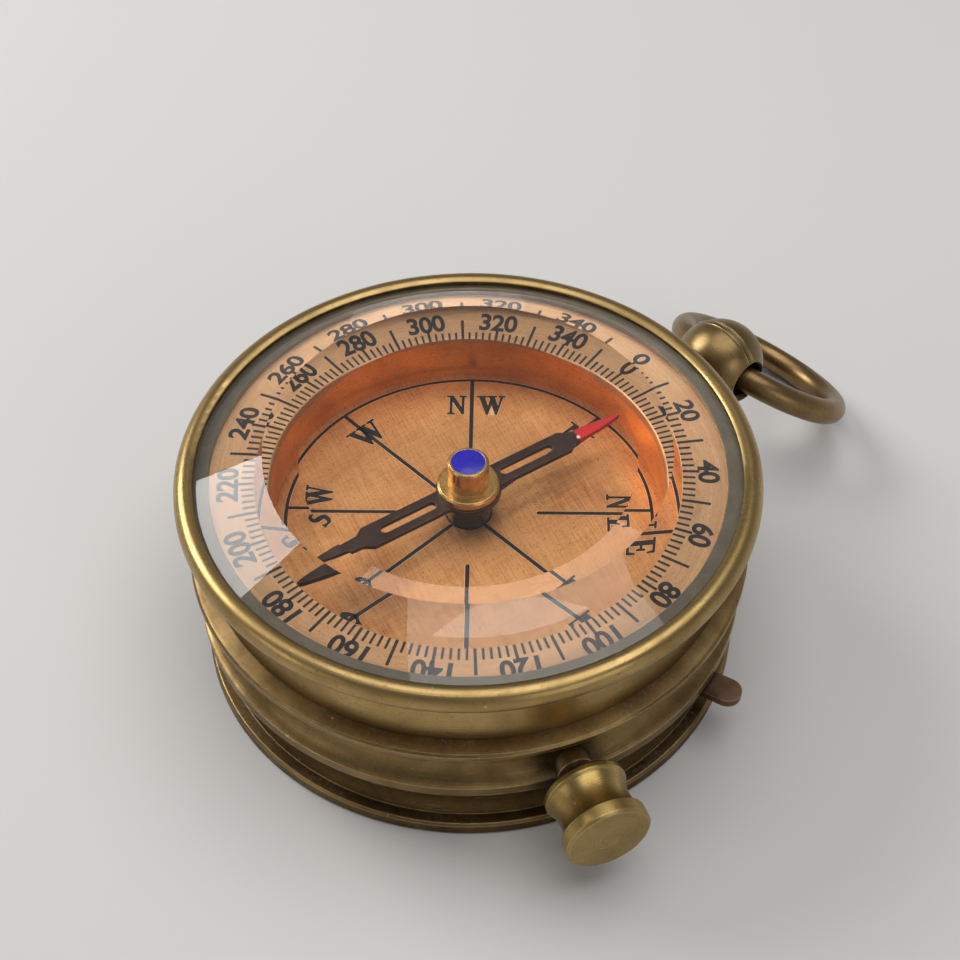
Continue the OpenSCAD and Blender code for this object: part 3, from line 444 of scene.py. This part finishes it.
def dullCoat(name, look):
    # Rubber, blued steel and other plain finishes with a little life in them
    material, tree, shader, place = startMaterial(name)
    wear = useGroup(tree, edgeWear, {"Place": place, "Width": look["edgeWidth"] * mm, "Breakup": 0.6})
    aged = useGroup(tree, tarnish, {"Place": place, "Cloud Size": look["cloudSize"] * mm})
    dirtAndShade = useGroup(tree, shadedGrime, {"Place": place, "Reach": 0.8 * mm, "Dustiness": look["dust"]})
    colour = blendColour(tree, aged["Cloud"], rgba(look["base"]), rgba(look["second"]))
    colour = blendColour(tree, calc(tree, "MULTIPLY", wear["Wear"], look["wearAmount"]), colour,
                         rgba(look["edge"]))
    # painted shade with grime: closed-in corners and grooves are darkened
    colour = blendColour(tree, calc(tree, "MULTIPLY", dirtAndShade["Shaded Grime"], 0.6), colour, rgba(look["dark"]))
    tree.links.new(colour, shader.inputs["Base Color"])
    shader.inputs["Metallic"].default_value = look["metallic"]
    tree.links.new(calc(tree, "MULTIPLY_ADD", aged["Cloud"], 0.15, look["rough"]),
                   shader.inputs["Roughness"])
    bump = put(tree, "Bump", None, {"Distance": 0.006 * mm, "Height": aged["Cloud"],
                                    "Normal": wear["Normal"]})
    tree.links.new(bump.outputs[0], shader.inputs["Normal"])
    return material


def clearCrystal(name, look):
    material, tree, shader, place = startMaterial(name)
    shader.inputs["Base Color"].default_value = rgba(look["tint"])
    shader.inputs["Transmission Weight"].default_value = 1.0
    shader.inputs["IOR"].default_value = look["ior"]
    smear = noise(tree, place, 240.0, 4.0, 0.6, 0.6)
    tree.links.new(spread(tree, smear, 0.45, 0.75, 0.0, look["smear"]), shader.inputs["Roughness"])
    # lamps shine through the crystal instead of stopping at it
    passing = put(tree, "BsdfTransparent", None, {0: rgba(look["shade"])}).outputs[0]
    shadow = put(tree, "LightPath").outputs["Is Shadow Ray"]
    mix = put(tree, "MixShader", None, {0: shadow, 1: shader.outputs[0], 2: passing})
    tree.links.new(mix.outputs[0], tree.nodes["Material Output"].inputs["Surface"])
    return material


def jewelGlaze(name, look):
    material, tree, shader, place = startMaterial(name)
    swirl = noise(tree, place, 900.0, 4.0, 0.6, 1.2)
    tree.links.new(blendColour(tree, spread(tree, swirl, 0.35, 0.65), rgba(look["blue"]),
                               rgba(look["violet"])), shader.inputs["Base Color"])
    tree.links.new(spread(tree, swirl, 0.3, 0.7, look["rough"], look["rough"] + 0.08),
                   shader.inputs["Roughness"])
    shader.inputs["Coat Weight"].default_value = look["coat"]
    shader.inputs["Coat Roughness"].default_value = look["coatRough"]
    return material


brassLook = {
    "metal": (0.310, 0.205, 0.080),
    "tarnished": (0.098, 0.057, 0.023),
    "bright": (0.70, 0.52, 0.26),
    "dark": (0.034, 0.018, 0.008),
    "dustColour": (0.27, 0.24, 0.20),
    "rough": 0.27,
    "edgeWidth": 0.22,
    "wearAmount": 0.95,
    "wearBreakup": 0.4,
    "shadedGrimeReach": 4.0,
    "shadedGrimeAmount": 0.85,
    "dust": 0.45,
    "cloudSize": 9.0,
    "cloudAmount": 0.8,
    "linesPerMm": 7.0,
    "grainDepth": 0.7,
    "ringTone": 0.18,
    "hairlines": 0.55,
    "nickSpacing": 2.6,
    "nickShare": 0.35,
    "spots": 0.30,
    "markTone": 0.6,
    # added to the roughness, or taken off it
    "cloudRough": 0.14, "ringRough": 0.07, "shadedGrimeRough": 0.22, "wearGloss": 0.10, "dustRough": 0.5,
    # heights as shares of the bump's depth in mm
    "spotDepth": 0.35, "markDepth": 0.8, "dustHeight": 1.2, "bumpDepth": 0.006,
    "centre": (0, 0, 0),
    "axis": (0, 0, 1),
}

copperLook = {
    "metal": (0.57, 0.258, 0.088),
    "tarnished": (0.35, 0.118, 0.032),
    "bright": (0.82, 0.47, 0.22),
    "dark": (0.12, 0.035, 0.012),
    "rough": 0.38,
    "edgeWidth": 0.10,
    "cloudSize": 9.0,
    "cloudAmount": 0.85,
    "spotAmount": 0.5,
    "linesPerMm": 5.0,
    "grainContrast": 0.38,
    "grainDepth": 0.006,
    "brushTurn": 108,
    "brushed": 1.0,
    "crossShare": 0.55,
    "turned": 0.0,
    "wearBreakup": 0.3,
    "spotSize": 0.22,
    "spotDepth": 0.3,
    "grainRough": 0.10,
    "cloudRough": 0.10,
}

buttonBearing = math.radians(110.6)
buttonAxis = (math.sin(buttonBearing), math.cos(buttonBearing), 0)
pendantPlace = (0, 38.9, 13.5)

finishes = {
    "case_brass": agedBrass("caseBrass", brassLook),
    "bezel_brass": agedBrass("bezelBrass", brassLook | {
        "metal": (0.47, 0.322, 0.128), "tarnished": (0.260, 0.168, 0.062), "rough": 0.21,
        "shadedGrimeReach": 2.4, "shadedGrimeAmount": 0.7, "dust": 0.2, "ringTone": 0.10}),
    "plate_brass": agedBrass("plateBrass", brassLook | {
        "metal": (0.46, 0.33, 0.15), "tarnished": (0.27, 0.18, 0.075), "rough": 0.36, "dust": 0.15,
        "shadedGrimeReach": 1.6}),
    "cap_brass": agedBrass("capBrass", brassLook | {
        "metal": (0.78, 0.49, 0.14), "tarnished": (0.56, 0.30, 0.07), "bright": (0.98, 0.80, 0.46),
        "dark": (0.16, 0.07, 0.015), "rough": 0.15, "edgeWidth": 0.08, "dust": 0.0, "shadedGrimeAmount": 0.6,
        "cloudSize": 3.0, "linesPerMm": 12.0, "shadedGrimeReach": 1.0, "spots": 0.1}),
    "knob_brass": agedBrass("knobBrass", brassLook | {
        "metal": (0.47, 0.33, 0.115), "tarnished": (0.24, 0.155, 0.05), "rough": 0.23,
        "centre": (0, 0, 8.4), "axis": buttonAxis, "dust": 0.15, "linesPerMm": 9.0,
        "shadedGrimeReach": 1.6, "ringTone": 0.12}),
    "pendant_brass": agedBrass("pendantBrass", brassLook | {
        "metal": (0.34, 0.235, 0.098), "tarnished": (0.16, 0.104, 0.042), "centre": (0, 0, 13.5),
        "axis": (0, 1, 0), "rough": 0.22, "dust": 0.2, "shadedGrimeReach": 1.8}),
    "ring_brass": agedBrass("ringBrass", brassLook | {
        "metal": (0.31, 0.205, 0.088), "tarnished": (0.140, 0.084, 0.036), "centre": pendantPlace,
        "axis": (1, 0, 0), "rough": 0.24, "grainDepth": 0.2, "dust": 0.15, "shadedGrimeReach": 1.6,
        "hairlines": 0.2}),
    "scale_copper": copperSheet("scaleCopper", copperLook | {
        "metal": (0.60, 0.335, 0.165), "tarnished": (0.43, 0.215, 0.095), "bright": (0.86, 0.58, 0.35),
        "brushed": 0.25, "turned": 0.8, "rough": 0.34, "linesPerMm": 6.0}),
    "wall_copper": copperSheet("wallCopper", copperLook | {
        "metal": (0.92, 0.40, 0.085), "tarnished": (0.66, 0.22, 0.035), "bright": (0.98, 0.58, 0.22),
        "brushed": 0.0, "turned": 1.0, "rough": 0.24, "linesPerMm": 6.0, "grainContrast": 0.3}),
    "dial_copper": copperSheet("dialCopper", copperLook),
    "crystal_glass": clearCrystal("crystalGlass", {
        "tint": (0.990, 1.0, 0.995), "shade": (0.94, 0.96, 0.95), "ior": 1.5, "smear": 0.02}),
    "gasket_rubber": dullCoat("gasketRubber", {
        "base": (0.34, 0.29, 0.22), "second": (0.26, 0.21, 0.155), "edge": (0.60, 0.53, 0.44),
        "dark": (0.14, 0.10, 0.06), "metallic": 0.0, "rough": 0.32, "edgeWidth": 0.08,
        "wearAmount": 0.2, "cloudSize": 3.0, "dust": 0.1}),
    "screw_steel": dullCoat("screwSteel", {
        "base": (0.48, 0.47, 0.45), "second": (0.34, 0.32, 0.30), "edge": (0.8, 0.78, 0.74),
        "dark": (0.05, 0.04, 0.03), "metallic": 1.0, "rough": 0.26, "edgeWidth": 0.08,
        "wearAmount": 0.7, "cloudSize": 1.5, "dust": 0.1}),
    "pin_steel": dullCoat("pinSteel", {
        "base": (0.40, 0.39, 0.37), "second": (0.28, 0.27, 0.25), "edge": (0.7, 0.69, 0.66),
        "dark": (0.05, 0.04, 0.03), "metallic": 1.0, "rough": 0.20, "edgeWidth": 0.05,
        "wearAmount": 0.6, "cloudSize": 1.0, "dust": 0.0}),
    "spring_steel": dullCoat("springSteel", {
        "base": (0.36, 0.35, 0.34), "second": (0.24, 0.22, 0.20), "edge": (0.6, 0.58, 0.55),
        "dark": (0.04, 0.03, 0.03), "metallic": 1.0, "rough": 0.30, "edgeWidth": 0.04,
        "wearAmount": 0.3, "cloudSize": 1.0, "dust": 0.0}),
    "lifter_dark": dullCoat("lifterBlack", {
        "base": (0.008, 0.007, 0.006), "second": (0.014, 0.011, 0.009), "edge": (0.10, 0.07, 0.04),
        "dark": (0.003, 0.002, 0.002), "metallic": 0.0, "rough": 0.14, "edgeWidth": 0.08,
        "wearAmount": 0.25, "cloudSize": 2.5, "dust": 0.0}),
    "lever_bronze": dullCoat("leverBronze", {
        "base": (0.105, 0.062, 0.036), "second": (0.17, 0.11, 0.07), "edge": (0.46, 0.35, 0.24),
        "dark": (0.02, 0.012, 0.008), "metallic": 1.0, "rough": 0.28, "edgeWidth": 0.16,
        "wearAmount": 0.6, "cloudSize": 2.0, "dust": 0.1}),
    "needle_steel": needleBlue("needleSteel", {
        "restBearing": 8.5, "steel": (0.042, 0.022, 0.016), "steelWorn": (0.075, 0.042, 0.028),
        "edge": (0.26, 0.16, 0.09), "red": (0.46, 0.003, 0.002), "redDeep": (0.28, 0.002, 0.002),
        "primer": (0.66, 0.50, 0.42), "paintFrom": 13.75, "paintWander": 0.3, "rough": 0.26,
        "chipPlace": (2.35, 13.45, 18.85), "chipSize": 0.42}),
    "jewel_blue": jewelGlaze("jewelBlue", {
        "blue": (0.003, 0.0006, 0.34), "violet": (0.006, 0.0006, 0.22), "rough": 0.16,
        "coat": 0.15, "coatRough": 0.03}),
}
inkBlack = blackInk("inkBlack", {"ink": (0.006, 0.0045, 0.004), "thin": (0.016, 0.010, 0.007),
                                 "rough": 0.42, "specular": 0.22})

slotOfNode = {
    "case_brass": ["case_body", "base_plate"],
    "screw_steel": ["base_screws", "plate_screws", "lever_screw", "lever_washer", "button_clip"],
    "bezel_brass": ["bezel"],
    "crystal_glass": ["crystal"],
    "gasket_rubber": ["crystal_gasket"],
    "scale_copper": ["degree_ring"],
    "wall_copper": ["dial_wall"],
    "dial_copper": ["dial_plate"],
    "plate_brass": ["movement_plate", "pivot_post", "button_bush", "button_guide"],
    "pin_steel": ["pivot_pin", "button_rod"],
    "lifter_dark": ["lifter_collar"],
    "lever_bronze": ["lock_lever"],
    "needle_steel": ["needle"],
    "cap_brass": ["needle_cap"],
    "jewel_blue": ["needle_jewel"],
    "knob_brass": ["button_knob"],
    "pendant_brass": ["pendant_collar", "pendant_ball", "pendant_cap"],
    "ring_brass": ["bow_ring"],
}
for slotName, nodeNames in slotOfNode.items():
    for nodeName in nodeNames:
        for slot in nodes[nodeName].material_slots:
            slot.material = finishes[slotName]
print("compass: finishes on the solids")


# Helpers for pieces made here

def addPiece(name, mesh, material, body, smooth=40):
    mesh.materials.clear()
    mesh.materials.append(material)
    piece = bpy.data.objects.new(name, mesh)
    bpy.context.scene.collection.objects.link(piece)
    if smooth:
        mesh.shade_smooth()
        mesh.set_sharp_from_angle(angle=math.radians(smooth))
    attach(piece, body)
    return piece


def polar(bearing, radius):
    angle = math.radians(bearing)
    return Vector((radius * math.sin(angle), radius * math.cos(angle)))


def meshOfCurve(curve):
    # turns a filled curve or a word into a mesh and clears the curve away
    holder = bpy.data.objects.new("holder", curve)
    bpy.context.scene.collection.objects.link(holder)
    bpy.context.view_layer.update()
    ready = holder.evaluated_get(bpy.context.evaluated_depsgraph_get())
    mesh = bpy.data.meshes.new_from_object(ready)
    bpy.data.objects.remove(holder)
    return mesh


def printedMesh(name, outlines, surface, look, swell=0.0):
    # each outline becomes a thin plate let into the surface; all values in mm
    curve = bpy.data.curves.new(name, "CURVE")
    curve.dimensions = "2D"
    curve.fill_mode = "BOTH"
    curve.extrude = look["thick"] / 2 * mm
    curve.offset = swell * mm
    for outline in outlines:
        spline = curve.splines.new("POLY")
        spline.points.add(len(outline) - 1)
        for point, spot in zip(spline.points, outline):
            point.co = (spot[0] * mm, spot[1] * mm, 0, 1)
        spline.use_cyclic_u = True
    mesh = meshOfCurve(curve)
    lift = surface + look["proud"] - look["thick"] / 2
    mesh.transform(Matrix.Translation((0, 0, lift * mm)))
    return mesh


def strip(bearing, inner, outer, width):
    # straight mark along a bearing
    out = polar(bearing, 1)
    side = Vector((out.y, -out.x)) * width / 2
    return [out * inner - side, out * inner + side, out * outer + side, out * outer - side]


def ringOfPoints(shape, radius, height, sides):
    steps = [2 * math.pi * i / sides for i in range(sides)]
    return [shape.verts.new((radius * math.cos(angle), radius * math.sin(angle), height))
            for angle in steps]


def closeMesh(name, shape):
    # turns the loose shape into a named mesh whose faces look outward
    bmesh.ops.recalc_face_normals(shape, faces=shape.faces)
    mesh = bpy.data.meshes.new(name)
    shape.to_mesh(mesh)
    shape.free()
    return mesh


def turnedMesh(name, profile, sides=96):
    # profile points are (radius, distance along Z); the first and last lie on the axis
    shape = bmesh.new()
    rings = []
    for radius, height in profile:
        if radius == 0:
            rings.append([shape.verts.new((0, 0, height))])
        else:
            rings.append(ringOfPoints(shape, radius, height, sides))
    for low, high in zip(rings, rings[1:]):
        for i in range(sides):
            j = (i + 1) % sides
            corners = [low[i % len(low)], low[j % len(low)], high[j % len(high)], high[i % len(high)]]
            shape.faces.new(list(dict.fromkeys(corners)))
    return closeMesh(name, shape)


# Degree ring: ticks every 2 degrees and figures every 20

scaleMarks = {
    "tickStep": 2, "figureStep": 20,  # degrees
    "inner": 20.74,
    "short": 1.38, "middle": 1.90, "long": 3.18,
    "thinWidth": 0.25, "longWidth": 0.31,
    "thick": 0.032, "proud": 0.012,
    "figureFoot": 22.42, "figureHeight": 2.5, "figureWidth": 0.90, "figureBold": 0.030,
    "figureGap": 0.97,
}


def scaleTicks(look):
    outlines = []
    half = look["figureStep"] // 2
    for degree in range(0, 360, look["tickStep"]):
        if degree % look["figureStep"] == half:
            length, width = look["long"], look["longWidth"]
        elif degree % half == 0:
            length, width = look["middle"], look["longWidth"]
        else:
            length, width = look["short"], look["thinWidth"]
        outlines.append(strip(degree, look["inner"], look["inner"] + length, width))
    return outlines


def scaleFigures(look, surface):
    joined = bmesh.new()
    for degree in range(0, 360, look["figureStep"]):
        word = bpy.data.curves.new("figure", "FONT")
        word.body = str(degree)
        word.align_x = "CENTER"
        word.size = 1.0
        word.offset = look["figureBold"]
        word.space_character = look["figureGap"]
        word.extrude = 0.5
        mesh = meshOfCurve(word)
        tall = max(v.co.y for v in mesh.vertices) - min(v.co.y for v in mesh.vertices)
        foot = min(v.co.y for v in mesh.vertices)
        middle = (max(v.co.x for v in mesh.vertices) + min(v.co.x for v in mesh.vertices)) / 2
        grow = look["figureHeight"] / tall * mm
        mesh.transform(Matrix.Translation((-middle, -foot, 0)))
        mesh.transform(Matrix.Diagonal((grow * look["figureWidth"], grow, look["thick"] * mm, 1)))
        spot = polar(degree, look["figureFoot"])
        place = Vector((spot.x, spot.y, surface + look["proud"] - look["thick"] / 2)) * mm
        turn = Matrix.Rotation(-math.radians(degree), 4, "Z")
        mesh.transform(Matrix.Translation(place) @ turn)
        joined.from_mesh(mesh)
        bpy.data.meshes.remove(mesh)
    result = bpy.data.meshes.new("degreeFigures")
    joined.to_mesh(result)
    joined.free()
    return result


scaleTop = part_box("degree_ring")[1].z / mm
tickMesh = printedMesh("degreeTicks", scaleTicks(scaleMarks), scaleTop, scaleMarks)
addPiece("degreeTicks", tickMesh, inkBlack, "case", 0)
addPiece("degreeFigures", scaleFigures(scaleMarks, scaleTop), inkBlack, "case", 0)
print("compass: degree ring marked")


# Dial: circle, eight lines and the letters of the winds

dialMarks = {
    "turn": -2.2,  # the dial sits a little turned under its ring
    "circleRadius": 19.8, "circleWidth": 0.36, "circleSides": 288,
    "lineWidth": 0.44, "lineStart": 2.5, "sideStart": 7.3,
    "letterFoot": 14.5, "letterHeight": 2.8, "letterGap": 0.6,
    "pairWidths": {"N": 2.1, "E": 1.95, "S": 1.6, "W": 3.1},
    "singleWidths": {"N": 3.4, "E": 2.6, "S": 2.1, "W": 3.9},
    "thick": 0.032, "proud": 0.012,
    # rim is the width of the painted highlight edge round each dial mark
    "rim": 0.05, "letterSwell": 0.065,
}

# Outlines of the letters in a box one unit high
letterN = [(0, 1), (.27, 1), (.70, .30), (.70, .95), (.58, .95), (.58, 1), (.90, 1), (.90, .95),
           (.78, .95), (.78, 0), (.70, 0), (.22, .78), (.22, .05), (.34, .05), (.34, 0), (.02, 0),
           (.02, .05), (.14, .05), (.14, .92), (.08, .95), (0, .95)]
letterE = [(0, 1), (.68, 1), (.70, .74), (.655, .74), (.60, .94), (.30, .94), (.30, .535),
           (.48, .535), (.52, .65), (.56, .65), (.56, .35), (.52, .35), (.48, .475), (.30, .475),
           (.30, .06), (.62, .06), (.69, .28), (.74, .28), (.71, 0), (0, 0), (0, .05), (.12, .05),
           (.12, .95), (0, .95)]
letterW = [(0, 1), (.40, 1), (.40, .95), (.31, .95), (.485, .36), (.60, .80), (.55, .95), (.47, .95),
           (.47, 1), (.86, 1), (.86, .95), (.765, .95), (.93, .36), (1.07, .95), (.97, .95), (.97, 1),
           (1.25, 1), (1.25, .95), (1.14, .95), (.87, -.01), (.83, -.01), (.645, .62), (.46, -.01),
           (.42, -.01), (.11, .95), (0, .95)]
spineS = [(.50, .80), (.30, .97), (.10, .78), (.30, .52), (.52, .24), (.28, .03), (.04, .20)]


def smoothCurve(points, steps=8):
    # passes a smooth curve through every point
    path = []
    padded = [points[0]] + list(points) + [points[-1]]
    for a, b, c, d in zip(padded, padded[1:], padded[2:], padded[3:]):
        for step in range(steps):
            t = step / steps
            path.append(Vector([0.5 * (2 * b[k] + (c[k] - a[k]) * t
                                       + (2 * a[k] - 5 * b[k] + 4 * c[k] - d[k]) * t ** 2
                                       + (3 * b[k] - a[k] - 3 * c[k] + d[k]) * t ** 3)
                                for k in (0, 1)]))
    path.append(Vector(points[-1]))
    return path


def letterSShape():
    # a ribbon along the spine, thick in the middle, with a flare at each end
    path = smoothCurve(spineS)
    left, right = [], []
    for i, point in enumerate(path):
        before, after = path[max(i - 1, 0)], path[min(i + 1, len(path) - 1)]
        way = (after - before).normalized()
        t = i / (len(path) - 1)
        width = 0.06 + 0.14 * math.sin(math.pi * t) ** 2
        width = max(width, 0.17 - 1.6 * min(t, 1 - t))
        side = Vector((-way.y, way.x)) * width / 2
        left.append(point + side)
        right.append(point - side)
    return left + right[::-1]


letterShapes = {
    # outline, width of its box
    "N": (letterN, 0.90),
    "E": (letterE, 0.74),
    "S": (letterSShape(), 0.58),
    "W": (letterW, 1.25),
}


def placeLetter(letter, bearing, start, width, look):
    # start is the letter's left edge, measured clockwise from the line
    shape, boxWidth = letterShapes[letter]
    out = polar(bearing, 1)
    side = Vector((out.y, -out.x))
    grow = width / boxWidth
    return [out * (look["letterFoot"] + y * look["letterHeight"]) + side * (start + x * grow)
            for x, y in shape]


def dialLetters(look):
    outlines = []
    for word, bearing in (("N", 0), ("NE", 45), ("E", 90), ("SE", 135),
                          ("S", 180), ("SW", 225), ("W", 270), ("NW", 315)):
        at = bearing + look["turn"]
        if len(word) == 1:
            width = look["singleWidths"][word]
            outlines.append(placeLetter(word, at, -width / 2, width, look))
        else:
            width, second = (look["pairWidths"][letter] for letter in word)
            outlines.append(placeLetter(word[0], at, -look["letterGap"] - width, width, look))
            outlines.append(placeLetter(word[1], at, look["letterGap"], second, look))
    return outlines


def roundedStrip(bearing, inner, outer, width, steps=8):
    # straight mark whose inner end is round
    out = polar(bearing, 1)
    side = Vector((out.y, -out.x)) * width / 2
    outline = [out * outer + side, out * outer - side]
    for step in range(steps + 1):
        angle = math.pi * step / steps
        outline.append(out * (inner - width / 2 * math.sin(angle)) - side * math.cos(angle))
    return outline


def dialLines(look):
    outlines = []
    reach = look["circleRadius"] - look["circleWidth"] / 4
    for bearing in range(0, 360, 45):
        inner = look["lineStart"] if bearing % 90 == 0 else look["sideStart"]
        outlines.append(roundedStrip(bearing + look["turn"], inner, reach, look["lineWidth"]))
    return outlines


def circleMesh(name, look, surface, swell=0.0):
    inner = (look["circleRadius"] - look["circleWidth"] / 2 - swell) * mm
    outer = (look["circleRadius"] + look["circleWidth"] / 2 + swell) * mm
    top = (surface + look["proud"]) * mm
    low = top - look["thick"] * mm
    shape = bmesh.new()
    sides = look["circleSides"]
    corners = ((inner, low), (outer, low), (outer, top), (inner, top))
    rings = [ringOfPoints(shape, radius, height, sides) for radius, height in corners]
    for ring, nextRing in zip(rings, rings[1:] + rings[:1]):
        for i in range(sides):
            j = (i + 1) % sides
            shape.faces.new((ring[i], ring[j], nextRing[j], nextRing[i]))
    return closeMesh(name, shape)


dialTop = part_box("dial_plate")[1].z / mm
# painted highlight: a wider plate of brighter copper under each mark shows as a light edge round the
# print
highlightEdgeLook = dialMarks | {"proud": 0.006, "thick": 0.026}
highlightEdgeCopper = copperSheet("highlightEdgeCopper", copperLook | {
    "metal": (0.84, 0.54, 0.30), "tarnished": (0.70, 0.40, 0.20), "rough": 0.24})
for label, outlines, swell in (("dialLines", dialLines(dialMarks), 0.0),
                               ("dialLetters", dialLetters(dialMarks), dialMarks["letterSwell"])):
    addPiece(label, printedMesh(label, outlines, dialTop, dialMarks, swell), inkBlack, "case",
             0)
    highlightEdgeMesh = printedMesh(label + "Rim", outlines, dialTop, highlightEdgeLook, swell + dialMarks["rim"])
    addPiece(label + "Rim", highlightEdgeMesh, highlightEdgeCopper, "case", 0)
addPiece("dialCircle", circleMesh("dialCircle", dialMarks, dialTop), inkBlack, "case",
         0)
addPiece("dialCircleRim", circleMesh("dialCircleRim", highlightEdgeLook, dialTop, dialMarks["rim"]),
         highlightEdgeCopper, "case", 0)
print("compass: dial marked")


# Pendant stem with its thread

stemLook = {
    "tailRadius": 1.2, "tailFrom": 24.4, "threadFrom": 29.6, "threadTo": 36.2,
    "crest": 2.0, "root": 1.72, "pitch": 0.36,
    # one turn of the thread: radius and share of the pitch
    "threadShape": [("root", 0.12), ("crest", 0.42), ("crest", 0.58), ("root", 0.88)],
}


def stemProfile(look):
    profile = [(0, look["tailFrom"]), (look["tailRadius"], look["tailFrom"]),
               (look["tailRadius"], look["threadFrom"]), (look["root"], look["threadFrom"])]
    turns = int((look["threadTo"] - look["threadFrom"]) / look["pitch"])
    for turn in range(turns):
        foot = look["threadFrom"] + turn * look["pitch"]
        for radius, share in look["threadShape"]:
            profile.append((look[radius], foot + share * look["pitch"]))
    profile += [(look["root"], look["threadTo"]), (0, look["threadTo"])]
    return [(radius * mm, height * mm) for radius, height in profile]


stemMesh = turnedMesh("pendantStem", stemProfile(stemLook), 64)
stemHeight = (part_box("pendant_stem")[0].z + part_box("pendant_stem")[1].z) / 2
stemMesh.transform(Matrix.Translation((0, 0, stemHeight)) @ Matrix.Rotation(-math.pi / 2, 4, "X"))
stem = addPiece("pendantStem", stemMesh, finishes["pendant_brass"], "case", 35)
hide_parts("pendant_stem")


# Springs, wound from round wire

springLooks = {
    # closedPitch is the rise of an end turn, in wire radii
    "lifterSpring": {"coil": 2.85, "wire": 0.22, "turns": 6, "closedPitch": 2.2,
                     "from": 7.65, "to": 14.05, "lift": 0.8},
    "buttonSpring": {"coil": 1.5, "wire": 0.2, "turns": 6, "closedPitch": 2.2,
                     "from": 13.2, "to": 21.25, "travel": 1.4, "height": 8.4},
}


def springMesh(name, look, steps=36, sides=12):
    # stands on Z = 0; the first and the last turn lie close, the rest are open
    length = look["to"] - look["from"]
    wire, turns = look["wire"], look["turns"]
    closed = look["closedPitch"] * wire
    free = (length - 2 * wire - 2 * closed) / (turns - 2)
    shape = bmesh.new()
    rings = []
    for i in range(turns * steps + 1):
        turn = i / steps
        height = (wire + closed * min(turn, 1) + free * min(max(turn - 1, 0), turns - 2)
                  + closed * max(turn - turns + 1, 0))
        angle = 2 * math.pi * turn
        ring = []
        for j in range(sides):
            around = 2 * math.pi * j / sides
            radius = look["coil"] + wire * math.cos(around)
            spot = Vector((radius * math.cos(angle), radius * math.sin(angle),
                           height + wire * math.sin(around)))
            ring.append(shape.verts.new(spot * mm))
        rings.append(ring)
    for low, high in zip(rings, rings[1:]):
        for j in range(sides):
            k = (j + 1) % sides
            shape.faces.new((low[j], low[k], high[k], high[j]))
    shape.faces.new(rings[0])
    shape.faces.new(rings[-1])
    return closeMesh(name, shape)


lifterLook = springLooks["lifterSpring"]
lifterMesh = springMesh("lifterSpring", lifterLook)
lifterMesh.transform(Matrix.Translation((0, 0, lifterLook["from"] * mm)))
lifterSpring = addPiece("lifterSpring", lifterMesh, finishes["spring_steel"], "case",
                        60)
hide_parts("lifter_spring")
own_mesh(lifterSpring)

buttonLook = springLooks["buttonSpring"]
buttonMesh = springMesh("buttonSpring", buttonLook)
buttonMesh.transform(Matrix.Translation((0, 0, buttonLook["from"] * mm)))
aim = Matrix.Rotation(-buttonBearing, 4, "Z") @ Matrix.Rotation(-math.pi / 2, 4, "X")
buttonMesh.transform(Matrix.Translation((0, 0, buttonLook["height"] * mm)) @ aim)
buttonSpring = addPiece("buttonSpring", buttonMesh, finishes["spring_steel"], "case",
                        60)
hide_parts("button_spring")
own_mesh(buttonSpring)
print("compass: stem and springs made")


# Floor, world and lamps

def makeFloor(setup):
    half = setup["floorSize"] / 2
    mesh = bpy.data.meshes.new("floor")
    mesh.from_pydata([(-half, -half, 0), (half, -half, 0), (half, half, 0), (-half, half, 0)], [],
                     [(0, 1, 2, 3)])
    material, tree, shader, place = startMaterial("floorPaper")
    shader.inputs["Base Color"].default_value = rgba(setup["floorColour"])
    shader.inputs["Roughness"].default_value = 0.9
    shader.inputs["Specular IOR Level"].default_value = 0.1
    mesh.materials.append(material)
    floor = bpy.data.objects.new("floor", mesh)
    bpy.context.scene.collection.objects.link(floor)


def makeWorld(setup):
    world = bpy.data.worlds.new("studioWorld")
    bpy.context.scene.world = world
    world.use_nodes = True
    tree = world.node_tree
    tree.nodes.clear()
    up = put(tree, "SeparateXYZ", None, {0: put(tree, "TexCoord").outputs["Generated"]}).outputs[2]
    sky = blendColour(tree, spread(tree, up, -0.1, 0.68, smooth=True), rgba(setup["skyLow"]),
                      rgba(setup["skyMiddle"]))
    # a wide soft ceiling, with no edge that the crystal could mirror
    sky = blendColour(tree, spread(tree, up, 0.80, 0.985, smooth=True), sky, rgba(setup["skyTop"]))
    soft = put(tree, "Background", None, {0: sky, 1: 1.0}).outputs[0]
    tree.links.new(soft, put(tree, "OutputWorld").inputs[0])


def makeLamps(setup):
    for name, place, size, power in setup["lamps"]:
        lamp = bpy.data.lights.new(name, "AREA")
        lamp.shape = "DISK"
        lamp.size = size
        lamp.energy = power
        holder = bpy.data.objects.new(name, lamp)
        holder.location = place
        away = Vector(place) - Vector(setup["lampAim"])
        holder.rotation_euler = away.to_track_quat("Z", "Y").to_euler()
        bpy.context.scene.collection.objects.link(holder)


makeCamera(cameraSetup)
makeFloor(studioSetup)
makeWorld(studioSetup)
makeLamps(studioSetup)
bpy.context.scene.view_settings.view_transform = "Standard"
print("compass: studio set")
